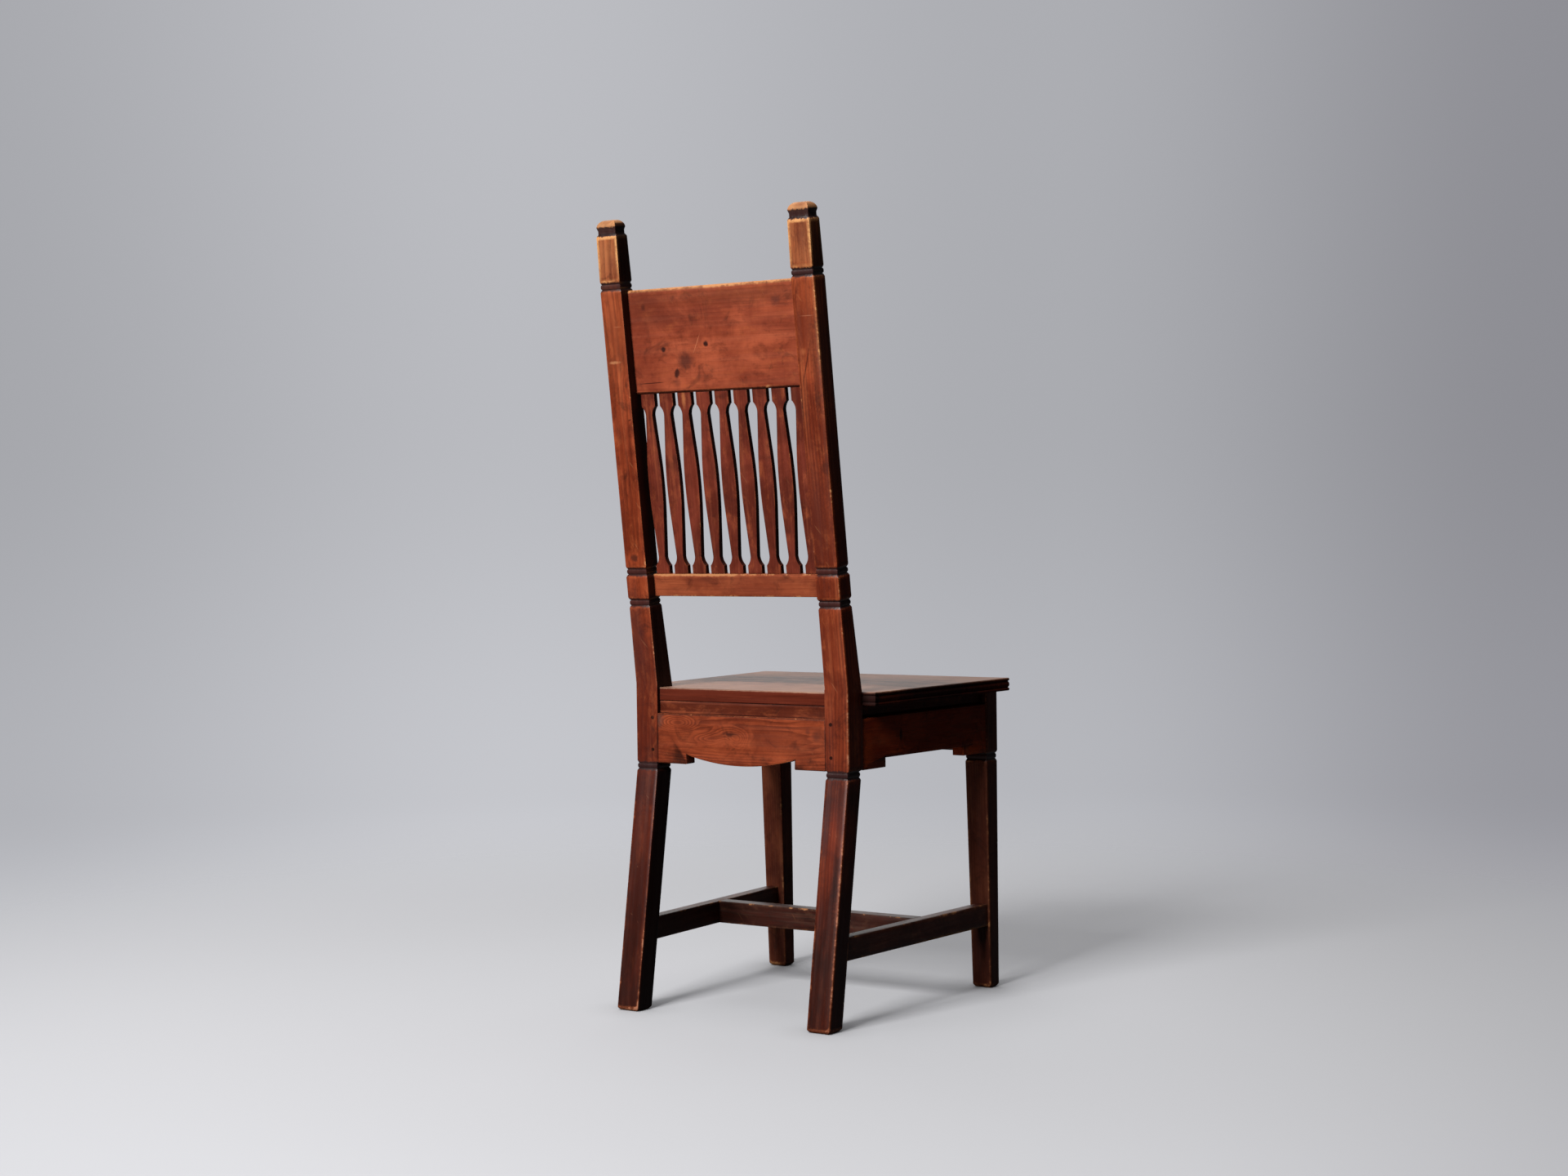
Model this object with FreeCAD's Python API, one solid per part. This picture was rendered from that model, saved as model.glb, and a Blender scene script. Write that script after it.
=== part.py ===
import FreeCAD, Part
import os
from FreeCAD import Placement, Rotation, Vector

# A joined high-back side chair in stained pine. The datum is the vertical back plane, through the rear
# faces of the rear posts at the seat rail. +X is the sitter's left, -Y the front and +Z is up.
# Every size below is a driving dimension in millimetres, unless its name ends in share or degrees.

# Seat
seat_height = 450.0
seat_thickness = 18.4
seat_side_overhang = 16.1         # past the front legs' outer faces
seat_ear_overhang = 20.4          # past the rear posts' outer faces
seat_front_overhang = 8.7         # past the front legs' front faces
seat_tongue_recess = 5.4          # back plane to the tongue between the posts
rear_board_reach = 158.0          # back plane to the rear seam
middle_board_width = 77.0
seam_ease = 0.5                   # small arris taken off along each seam
tongue_arris = 1.2
reed_height = 4.6                 # upper and lower reed of the moulded edge
reed_groove = 1.7
reed_arris = 1.0

# Rear posts
back_width = 281.8                # clear width between the posts' blocks
post_width = 37.2                 # full stock, as left on the blocks
post_depth = 36.6                 # the same at the seat rail
block_proud = 0.5                 # the blocks stand this far outside the shafts
foot_set_back = 55.7              # rear face at the floor, behind the back plane
foot_depth = 32.8
knee_set_back = 1.5               # rear face just under the lower moulding
knee_depth = 33.5
shaft_depth = 28.5                # raked part of the post
rake_degrees = 7.14
rake_rise = 5.0                   # seat top to where the rear face starts to lean back
post_moulding_drop = 5.0          # foot of the seat rail to the centre of the bead under it

# Beads of the raked part: from a back board's edge to the bead's centre
under_rail_bead_drop = 7.4
over_rail_bead_rise = 5.2
neck_bead_rise = 7.2

# Finials
finial_block_height = 62.3
finial_width = 35.0
finial_foot_depth = 28.5
finial_top_depth = 25.5
cove_height = 11.2
cove_depth = 2.2
cove_chamfer = 3.2
cap_lip = 1.6
cap_inset = 1.2                   # the lip stands this far inside the block
dome_height = 9.4
dome_inset = 7.8
dome_rise_share = 0.62
dome_inset_share = 0.3

# Square-cut bead mouldings of posts and legs
bead_height = 7.0
bead_recess = 1.0                 # the bead's crest lies this far inside the shaft
groove_depth = 1.9
neck_chamfer = 3.3                # on the shaft's side
block_chamfer = 3.4               # on the block's side
foot_chamfer = 3.0

# Front legs
leg_width = 36.9
leg_depth = 31.8
leg_outer_spread = 397.8          # over the blocks' outer faces
leg_rear_reach = 335.0            # back plane to the legs' rear faces
leg_moulding_drop = 6.7
leg_foot_outer_taper = 3.7
leg_foot_inner_taper = 3.0
leg_foot_lean = 3.7               # front face, forward at the floor
leg_foot_depth = 24.6

# Seat rails
rail_height = 70.0
rail_thickness = 18.8
rail_reveal = 0.8
bracket_step = 13.0
end_bracket = 50.0                # front and rear rails
side_bracket_rear = 53.0
side_bracket_front = 57.0
belly_drop = 12.3
bracket_round = 2.0

# Battens between the rails and the seat
batten_height = 17.6
batten_width = 20.0
batten_recess = 8.0
rear_batten_recess = 6.0
rear_batten_width = 18.0
batten_chamfer = 3.0

# Back: crest panel, lower rail and slats, with places measured along the post from the start of the rake
back_recess = 15.0
back_board_thickness = 12.0
panel_foot = 406.8
panel_height = 144.0
panel_arris = 2.5
back_rail_foot = 122.9
back_rail_height = 31.4
slat_count = 9
slat_recess = 18.0
slat_thickness = 7.6
slat_width = 22.9
slat_neck_width = 11.0
slat_upper_block = 17.3
slat_lower_block = 11.4
slat_arch_height = 13.2
slat_belly_reach = 48.0
slat_belly_loss = 1.95            # what each edge has lost at the belly's ends
slat_middle_share = 0.51          # place of the belly's middle between the arches
arch_height_share = 0.37
arch_width_share = 0.36

# Stretchers
stretcher_top = 123.2
stretcher_height = 32.0
stretcher_thickness = 18.8
stretcher_rear_reveal = 1.2
stretcher_front_reveal = 3.1
cross_stretcher_reach = 177.4     # back plane to its rear face
cross_stretcher_thickness = 22.0

# Joints
fit_clearance = 0.15              # round each tenon, in its mortise
seat_clearance = 0.3              # seat and battens to the posts and legs
rail_tenon_thickness = 9.0
rear_rail_tenon_length = 24.0
front_rail_tenon_length = 20.0
rail_tenon_shoulder = 6.0         # under the top of a side rail and over the foot of an end rail
side_tenon_rear_length = 19.0
side_tenon_front_length = 15.0
side_tenon_rise = 2.0             # over the straight under-edge of a side rail
back_tenon_thickness = 7.0
back_tenon_length = 22.0
panel_tenon_shoulder = 12.0
back_rail_tenon_shoulder = 5.0
slat_tenon_thickness = 4.0
slat_tenon_width = 9.0
slat_tenon_length = 9.0
stretcher_tenon_thickness = 9.0
stretcher_tenon_shoulder = 5.0
stretcher_tenon_length = 16.0
cross_tenon_length = 11.0
peg_diameter = 5.0
peg_length = 16.0
peg_sink = 0.3
peg_clearance = 0.05
peg_inset = 9.1                   # from the post's inner face
peg_top_drop = 6.5                # under the top of the rear rail
peg_foot_rise = 18.5              # over the foot of the rear rail
overrun = 20.0                    # how far cutting shapes run past what they cut

# Places worked out from the driving dimensions
x_axis = Vector(1, 0, 0)
y_axis = Vector(0, 1, 0)
z_axis = Vector(0, 0, 1)
seat_underside = seat_height - seat_thickness
rail_top = seat_underside - batten_height
rail_foot = rail_top - rail_height
post_moulding_height = rail_foot - post_moulding_drop
leg_moulding_height = rail_foot - leg_moulding_drop
rake_start = seat_height + rake_rise
raked = Placement(z_axis * rake_start, Rotation(x_axis, -rake_degrees))
block_inner = back_width / 2
block_outer = block_inner + post_width
shaft_inner = block_inner + block_proud
shaft_outer = block_outer - block_proud
shaft_middle = (block_inner + block_outer) / 2
leg_outer = leg_outer_spread / 2
leg_inner = leg_outer - leg_width
leg_front_reach = leg_rear_reach + leg_depth
back_rail_top = back_rail_foot + back_rail_height
panel_top = panel_foot + panel_height
under_rail_bead = back_rail_foot - under_rail_bead_drop
over_rail_bead = back_rail_top + over_rail_bead_rise
neck_bead = panel_top + neck_bead_rise
finial_block_top = neck_bead + bead_height / 2 + block_chamfer + finial_block_height
cap_foot = finial_block_top + cove_height
cap_top = cap_foot + cap_lip + dome_height
stretcher_foot = stretcher_top - stretcher_height
stretcher_middle = (stretcher_top + stretcher_foot) / 2


# Outlines and simple solids

def outline(points):
    # Straight runs between corners, and an arc through each point that is marked as round
    edges = []
    index = 0
    while index < len(points):
        start = points[index][0]
        following, is_round = points[(index + 1) % len(points)]
        if is_round:
            end = points[(index + 2) % len(points)][0]
            edges.append(Part.Arc(start, following, end).toShape())
            index += 2
        else:
            edges.append(Part.makeLine(start, following))
            index += 1
    return Part.Wire(edges)


def prism(points, sweep):
    return Part.Face(outline(points)).extrude(sweep)


def corners(*points):
    return [(point, False) for point in points]


def box(low, high):
    size = high - low
    return Part.makeBox(size.x, size.y, size.z, low)


def raked_box(low, high):
    solid = box(low, high)
    solid.Placement = raked.multiply(solid.Placement)
    return solid


def mirrored(shape):
    return shape.mirror(Vector(0, 0, 0), x_axis)


def between(first, second, share):
    return first + (second - first) * share


# Faces of the posts and legs, each a chain of (height, place, is_round), read upwards

def moulding(centre, shaft, block, outward, block_above=True):
    # A bead between two grooves, where a shaft meets a block
    groove = shaft - outward * groove_depth
    half_bead = bead_height / 2
    chain = [
        (centre - half_bead - neck_chamfer, shaft, False),
        (centre - half_bead, groove, False),
        (centre, shaft - outward * bead_recess, True),
        (centre + half_bead, groove, False),
        (centre + half_bead + block_chamfer, block, False),
    ]
    if not block_above:
        chain = [(centre + centre - height, place, is_round) for height, place, is_round in reversed(chain)]
    return chain


def leg_chain(foot, knee, block, outward, bead, top):
    # Chamfered foot, straight tapered shaft, moulding and plain block
    knee_height = bead - bead_height / 2 - neck_chamfer
    above_chamfer = between(foot, knee, foot_chamfer / knee_height)
    start = [(0, foot - outward * foot_chamfer, False), (foot_chamfer, above_chamfer, False)]
    return start + moulding(bead, knee, block, outward) + [(top, block, False)]


def finial_chain(block, outward):
    # Cove, lip and domed cap over the finial's block
    neck = block - outward * cove_depth
    lip = block - outward * cap_inset
    dome_foot = cap_foot + cap_lip
    return [
        (finial_block_top, block, False),
        (finial_block_top + cove_chamfer, neck, False),
        (cap_foot - cove_chamfer, neck, False),
        (cap_foot, lip, False),
        (dome_foot, lip, False),
        (dome_foot + dome_height * dome_rise_share, lip - outward * dome_inset * dome_inset_share, True),
        (cap_top, lip - outward * dome_inset, False),
    ]


def upper_chain(shaft, finial_foot, finial_top, outward):
    block = shaft + outward * block_proud
    return (
        moulding(under_rail_bead, shaft, block, outward)
        + moulding(over_rail_bead, shaft, block, outward, block_above=False)
        + moulding(neck_bead, shaft, finial_foot, outward)
        + finial_chain(finial_top, outward)
    )


def side_points(chain, origin_x=0):
    return [(Vector(origin_x, place, height), is_round) for height, place, is_round in chain]


def front_points(chain, origin_y=0):
    return [(Vector(place, origin_y, height), is_round) for height, place, is_round in chain]


def placed(points):
    return [(raked.multVec(point), is_round) for point, is_round in points]


def closed(rising, falling):
    return rising + falling[::-1]


def rear_post_blank():
    # The side view of the whole post, swept sideways, is trimmed to its level and to its raked front view
    side_x = block_inner - overrun
    finial_slope = (finial_foot_depth - finial_top_depth) / 2
    rear = side_points(
        leg_chain(foot_set_back, knee_set_back, 0, 1, post_moulding_height, rake_start), side_x)
    front = side_points(
        leg_chain(foot_set_back - foot_depth, knee_set_back - knee_depth, -post_depth, -1,
                  post_moulding_height, seat_height), side_x)
    rear += placed(side_points(upper_chain(0, 0, -finial_slope, 1), side_x))
    front += placed(side_points(
        upper_chain(-shaft_depth, -finial_foot_depth, finial_slope - finial_foot_depth, -1), side_x))
    side = prism(closed(rear, front), x_axis * (post_width + overrun + overrun))

    level_top = rake_start + overrun
    level = prism(
        closed(
            front_points(
                leg_chain(shaft_inner, shaft_inner, block_inner, -1, post_moulding_height, level_top),
                -post_depth - overrun),
            front_points(
                leg_chain(shaft_outer, shaft_outer, block_outer, 1, post_moulding_height, level_top),
                -post_depth - overrun)),
        y_axis * (post_depth + foot_set_back + overrun + overrun))
    span = max(post_depth, finial_foot_depth) + overrun
    finial_inner = shaft_middle - finial_width / 2
    finial_outer = shaft_middle + finial_width / 2
    inner = [(0, block_inner, False)] + upper_chain(shaft_inner, finial_inner, finial_inner, -1)
    outer = [(0, block_outer, False)] + upper_chain(shaft_outer, finial_outer, finial_outer, 1)
    upper = prism(closed(front_points(inner, -span), front_points(outer, -span)), y_axis * (span + overrun))
    upper.Placement = raked

    above = raked_box(Vector(side_x, -span - overrun, 0),
                      Vector(block_outer + overrun, foot_set_back + overrun, cap_top + overrun))
    lower_half = side.common(level).cut(above)
    return lower_half.fuse(side.common(upper)).removeSplitter()


def front_leg_blank():
    rear = leg_chain(-leg_front_reach - leg_foot_lean + leg_foot_depth, -leg_rear_reach - block_proud,
                     -leg_rear_reach, 1, leg_moulding_height, seat_underside)
    front = leg_chain(-leg_front_reach - leg_foot_lean, block_proud - leg_front_reach,
                      -leg_front_reach, -1, leg_moulding_height, seat_underside)
    inner = leg_chain(leg_inner + leg_foot_inner_taper, leg_inner + block_proud,
                      leg_inner, -1, leg_moulding_height, seat_underside)
    outer = leg_chain(leg_outer - leg_foot_outer_taper, leg_outer - block_proud,
                      leg_outer, 1, leg_moulding_height, seat_underside)
    side = prism(closed(side_points(rear, leg_inner - overrun), side_points(front, leg_inner - overrun)),
                 x_axis * (leg_width + overrun + overrun))
    level_start = -leg_front_reach - leg_foot_lean - overrun
    level = prism(closed(front_points(inner, level_start), front_points(outer, level_start)),
                  y_axis * (leg_depth + leg_foot_lean + overrun + overrun))
    return side.common(level).removeSplitter()


# Rails between the posts and between the legs, with brackets and a bellied under-edge

def end_rail(half_length, rear_y):
    inner = half_length - end_bracket
    step = rail_foot + bracket_step
    points = corners(
        Vector(-half_length, rear_y, rail_top),
        Vector(-half_length, rear_y, rail_foot),
        Vector(-inner, rear_y, rail_foot),
        Vector(-inner, rear_y, step),
    )
    points.append((Vector(0, rear_y, step - belly_drop), True))
    points += corners(
        Vector(inner, rear_y, step),
        Vector(inner, rear_y, rail_foot),
        Vector(half_length, rear_y, rail_foot),
        Vector(half_length, rear_y, rail_top),
    )
    solid = prism(points, y_axis * -rail_thickness)
    return rounded(solid, [(inner, rail_foot), (-inner, rail_foot)])


def rounded(solid, places):
    # Rounds the bracket corners that run along Y at the given (x, z) places
    edges = []
    for edge in solid.Edges:
        start, end = edge.Vertexes[0].Point, edge.Vertexes[-1].Point
        along_y = (end - start).Length > abs(end.x - start.x) + abs(end.z - start.z)
        if along_y and any(Vector(start.x - x, 0, start.z - z).Length < bracket_round for x, z in places):
            edges.append(edge)
    return solid.makeFillet(bracket_round, edges)


def end_tenon(half_length, rear_y, length, grow=0):
    # A left-hand tenon, or its mortise with the clearance as grow
    side = (rail_thickness - rail_tenon_thickness) / 2
    return box(
        Vector(half_length - end_bracket / 2, rear_y - rail_thickness + side - grow,
               rail_foot + rail_tenon_shoulder - grow),
        Vector(half_length + length + grow, rear_y - side + grow, rail_top + grow))


# Rails, battens and stretchers along the chair's splayed sides

def side_rail_face(y):
    rear_x = block_outer - rail_reveal
    front_x = leg_outer - rail_reveal
    return between(rear_x, front_x, (-post_depth - y) / (leg_rear_reach - post_depth))


def post_front(height):
    return between(foot_set_back - foot_depth, knee_set_back - knee_depth, height / post_moulding_height)


def leg_rear(height):
    return between(-leg_front_reach - leg_foot_lean + leg_foot_depth, -leg_rear_reach,
                   height / leg_moulding_height)


def side_stretcher_face(y):
    rear_x = shaft_outer - stretcher_rear_reveal
    front_x = (leg_outer - leg_foot_outer_taper * (1 - stretcher_middle / leg_moulding_height)
               - stretcher_front_reveal)
    rear_y, front_y = post_front(stretcher_middle), leg_rear(stretcher_middle)
    return between(rear_x, front_x, (rear_y - y) / (rear_y - front_y))


def splayed(face, start_y, end_y, section):
    # A bar along a splayed side: its section is (inset from the outer face, height) at its rear end
    points = [(Vector(face(start_y) - inset, start_y, height), False) for inset, height in section]
    return prism(points, Vector(face(end_y) - face(start_y), end_y - start_y, 0))


def splayed_bar(face, start_y, end_y, near, far, low, high):
    return splayed(face, start_y, end_y, [(near, low), (near, high), (far, high), (far, low)])


def side_rail_tenon(grow=0):
    side = (rail_thickness - rail_tenon_thickness) / 2
    return splayed_bar(
        side_rail_face,
        -post_depth + side_tenon_rear_length + grow,
        -leg_rear_reach - side_tenon_front_length - grow,
        side - grow, rail_thickness - side + grow,
        rail_foot + bracket_step + side_tenon_rise - grow, rail_top - rail_tenon_shoulder + grow)


def side_seat_rail():
    body = splayed_bar(side_rail_face, -post_depth, -leg_rear_reach, 0, rail_thickness, rail_foot, rail_top)
    recess = splayed_bar(
        side_rail_face, -post_depth - side_bracket_rear, -leg_rear_reach + side_bracket_front,
        -overrun, rail_thickness + overrun, rail_foot - overrun, rail_foot + bracket_step)
    return body.cut(recess).fuse(side_rail_tenon()).removeSplitter()


def side_batten():
    outer, inner = batten_recess, batten_recess + batten_width
    section = [
        (outer + batten_chamfer, rail_top),
        (outer, rail_top + batten_chamfer),
        (outer, seat_underside),
        (inner, seat_underside),
        (inner, rail_top),
    ]
    return splayed(side_rail_face, -post_depth - seat_clearance, -leg_rear_reach + seat_clearance, section)


def stretcher_tenon(grow=0):
    side = (stretcher_thickness - stretcher_tenon_thickness) / 2
    return splayed_bar(
        side_stretcher_face,
        post_front(stretcher_middle) + stretcher_tenon_length + grow,
        leg_rear(stretcher_middle) - stretcher_tenon_length - grow,
        side - grow, stretcher_thickness - side + grow,
        stretcher_foot + stretcher_tenon_shoulder - grow, stretcher_top - stretcher_tenon_shoulder + grow)


def side_stretcher_blank(post, leg):
    # Runs into the post and the leg, whose own faces then cut its shoulders
    body = splayed_bar(
        side_stretcher_face,
        post_front(stretcher_middle) + stretcher_tenon_length,
        leg_rear(stretcher_middle) - stretcher_tenon_length,
        0, stretcher_thickness, stretcher_foot, stretcher_top)
    return body.cut(post).cut(leg).fuse(stretcher_tenon()).removeSplitter()


def cross_middle_y():
    return -cross_stretcher_reach - cross_stretcher_thickness / 2


def cross_half_length():
    return side_stretcher_face(cross_middle_y()) - stretcher_thickness


def cross_tenon(grow=0):
    side = (cross_stretcher_thickness - stretcher_tenon_thickness) / 2
    reach = cross_half_length() + cross_tenon_length + grow
    return box(
        Vector(-reach, -cross_stretcher_reach - cross_stretcher_thickness + side - grow,
               stretcher_foot + stretcher_tenon_shoulder - grow),
        Vector(reach, -cross_stretcher_reach - side + grow, stretcher_top - stretcher_tenon_shoulder + grow))


def cross_stretcher(side_blank):
    reach = cross_half_length() + cross_tenon_length
    body = box(Vector(-reach, -cross_stretcher_reach - cross_stretcher_thickness, stretcher_foot),
               Vector(reach, -cross_stretcher_reach, stretcher_top))
    return body.cut(side_blank).cut(mirrored(side_blank)).fuse(cross_tenon()).removeSplitter()


# The back, drawn upright and then leaned with the posts

def back_tenon(foot, top, shoulder, half_length, grow=0):
    side = (back_board_thickness - back_tenon_thickness) / 2
    reach = half_length + back_tenon_length + grow
    return raked_box(
        Vector(-reach, -back_recess - back_board_thickness + side - grow, foot + shoulder - grow),
        Vector(reach, -back_recess - side + grow, top - shoulder + grow))


def panel_tenon(grow=0):
    return back_tenon(panel_foot, panel_top, panel_tenon_shoulder, shaft_inner, grow)


def back_rail_tenon(grow=0):
    return back_tenon(back_rail_foot, back_rail_top, back_rail_tenon_shoulder, block_inner, grow)


def slat_places():
    pitch = (shaft_inner + shaft_inner) / slat_count
    return [(number - (slat_count - 1) / 2) * pitch for number in range(slat_count)]


def slat_tenons(grow=0):
    side = (slat_thickness - slat_tenon_thickness) / 2
    half_width = slat_tenon_width / 2 + grow
    return [
        raked_box(
            Vector(place - half_width, -slat_recess - slat_thickness + side - grow,
                   back_rail_top - slat_tenon_length - grow),
            Vector(place + half_width, -slat_recess - side + grow, panel_foot + slat_tenon_length + grow))
        for place in slat_places()
    ]


def crest_panel():
    half = shaft_inner
    front_y, rear_y = -back_recess - back_board_thickness, -back_recess
    section = corners(
        Vector(-half, front_y, panel_foot),
        Vector(-half, front_y, panel_top),
        Vector(-half, rear_y - panel_arris, panel_top),
        Vector(-half, rear_y, panel_top - panel_arris),
        Vector(-half, rear_y, panel_foot + panel_arris),
        Vector(-half, rear_y - panel_arris, panel_foot),
    )
    body = prism(section, x_axis * (half + half))
    body.Placement = raked
    solid = body.fuse(panel_tenon()).removeSplitter()
    for tenon in slat_tenons(fit_clearance):
        solid = solid.cut(tenon)
    return solid


def lower_back_rail():
    body = raked_box(Vector(-block_inner, -back_recess - back_board_thickness, back_rail_foot),
                     Vector(block_inner, -back_recess, back_rail_top))
    solid = body.fuse(back_rail_tenon()).removeSplitter()
    for tenon in slat_tenons(fit_clearance):
        solid = solid.cut(tenon)
    return solid


def slat_edge(place, outward):
    # One fretted edge, read upwards: block, quick arch to the neck, and a long swell at the belly
    block = place + outward * slat_width / 2
    neck = place + outward * slat_neck_width / 2
    swell = block - outward * slat_belly_loss
    low_arch = back_rail_top + slat_lower_block
    high_arch = panel_foot - slat_upper_block
    middle = between(low_arch, high_arch, slat_middle_share)
    arch_turn = between(neck, block, arch_width_share)
    return [
        (back_rail_top, block, False),
        (low_arch, block, False),
        (low_arch + slat_arch_height * arch_height_share, arch_turn, True),
        (low_arch + slat_arch_height, neck, False),
        (middle - slat_belly_reach, swell, False),
        (middle, block, True),
        (middle + slat_belly_reach, swell, False),
        (high_arch - slat_arch_height, neck, False),
        (high_arch - slat_arch_height * arch_height_share, arch_turn, True),
        (high_arch, block, False),
        (panel_foot, block, False),
    ]


def slat(place, tenon):
    start_y = -slat_recess - slat_thickness
    left, right = front_points(slat_edge(place, 1), start_y), front_points(slat_edge(place, -1), start_y)
    body = prism(closed(left, right), y_axis * slat_thickness)
    body.Placement = raked
    return body.fuse(tenon).removeSplitter()


# The seat, glued up from boards that run from side to side

def seat_notch_y():
    return -post_depth - seat_clearance


def reeded_cutter(start, end, outward):
    # Takes a seat edge down to three reeds, with the middle one widest
    under, top = seat_underside, seat_height

    def at(out, height):
        return start + outward * out + z_axis * height

    points = corners(at(overrun, top + overrun), at(-reed_arris, top + overrun), at(-reed_arris, top))
    points.append((at(0, top - reed_height / 2), True))
    points += corners(at(-reed_groove, top - reed_height))
    points.append((at(0, (top + under) / 2), True))
    points += corners(at(-reed_groove, under + reed_height))
    points.append((at(0, under + reed_height / 2), True))
    points += corners(at(-reed_arris, under), at(-reed_arris, under - overrun), at(overrun, under - overrun))
    return prism(points, end - start)


def seat_boards():
    front_half, ear_half = leg_outer + seat_side_overhang, block_outer + seat_ear_overhang
    tongue_half = block_inner - seat_clearance
    notch = seat_notch_y()
    front = -leg_front_reach - seat_front_overhang
    plan = corners(
        Vector(-front_half, front, seat_underside),
        Vector(front_half, front, seat_underside),
        Vector(ear_half, notch, seat_underside),
        Vector(tongue_half, notch, seat_underside),
        Vector(tongue_half, -seat_tongue_recess, seat_underside),
        Vector(-tongue_half, -seat_tongue_recess, seat_underside),
        Vector(-tongue_half, notch, seat_underside),
        Vector(-ear_half, notch, seat_underside),
    )
    seat = prism(plan, z_axis * seat_thickness)

    side_run = Vector(front_half - ear_half, front - notch, 0)
    side_run.normalize()
    side_start = Vector(ear_half, notch, 0) - side_run * overrun
    side_end = Vector(front_half, front, 0) + side_run * overrun
    side_cutter = reeded_cutter(side_start, side_end, z_axis.cross(side_run))
    ear_start = Vector(block_outer + seat_clearance, notch, 0)
    ear_cutter = reeded_cutter(ear_start, Vector(ear_half + overrun, notch, 0), y_axis)
    front_cutter = reeded_cutter(
        Vector(-front_half - overrun, front, 0), Vector(front_half + overrun, front, 0), y_axis * -1)
    for cutter in (side_cutter, mirrored(side_cutter), ear_cutter, mirrored(ear_cutter), front_cutter):
        seat = seat.cut(cutter)

    # The tongue's lower rear arris is taken off
    tongue_rear = -seat_tongue_recess
    arris = prism(
        corners(
            Vector(-tongue_half - overrun, tongue_rear - tongue_arris, seat_underside),
            Vector(-tongue_half - overrun, tongue_rear, seat_underside + tongue_arris),
            Vector(-tongue_half - overrun, tongue_rear + tongue_arris, seat_underside)),
        x_axis * (tongue_half + tongue_half + overrun + overrun))
    seat = seat.cut(arris)

    middle_board_reach = rear_board_reach + middle_board_width
    for reach in (rear_board_reach, middle_board_reach):
        seam = prism(
            corners(
                Vector(-front_half - overrun, -reach - seam_ease, seat_height),
                Vector(-front_half - overrun, -reach, seat_height - seam_ease),
                Vector(-front_half - overrun, -reach + seam_ease, seat_height)),
            x_axis * (front_half + front_half + overrun + overrun))
        seat = seat.cut(seam)

    def board(rear_reach, front_reach):
        slice_box = box(
            Vector(-front_half - overrun, -front_reach, seat_underside - overrun),
            Vector(front_half + overrun, -rear_reach, seat_height + overrun))
        return seat.common(slice_box)

    return {
        "seat_board_rear": board(-overrun, rear_board_reach),
        "seat_board_middle": board(rear_board_reach, middle_board_reach),
        "seat_board_front": board(middle_board_reach, overrun - front),
    }


def end_batten(half_length, outer_y, inward, width):
    # A batten on an end rail; inward is +1 towards the back and -1 towards the front
    section = corners(
        Vector(-half_length, outer_y + inward * batten_chamfer, rail_top),
        Vector(-half_length, outer_y, rail_top + batten_chamfer),
        Vector(-half_length, outer_y, seat_underside),
        Vector(-half_length, outer_y + inward * width, seat_underside),
        Vector(-half_length, outer_y + inward * width, rail_top),
    )
    return prism(section, x_axis * (half_length + half_length))


def rear_batten():
    half_length = block_inner - seat_clearance
    return box(Vector(-half_length, -rear_batten_recess - rear_batten_width, rail_top),
               Vector(half_length, -rear_batten_recess, seat_underside))


# Pegs through the rear rail's tenons

def peg_set(radius, rear_y, length):
    pegs = []
    for side in (1, -1):
        for height in (rail_foot + peg_foot_rise, rail_top - peg_top_drop):
            start = Vector(side * (block_inner + peg_inset), rear_y, height)
            pegs.append(Part.makeCylinder(radius, length, start, y_axis * -1))
    return pegs


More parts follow.
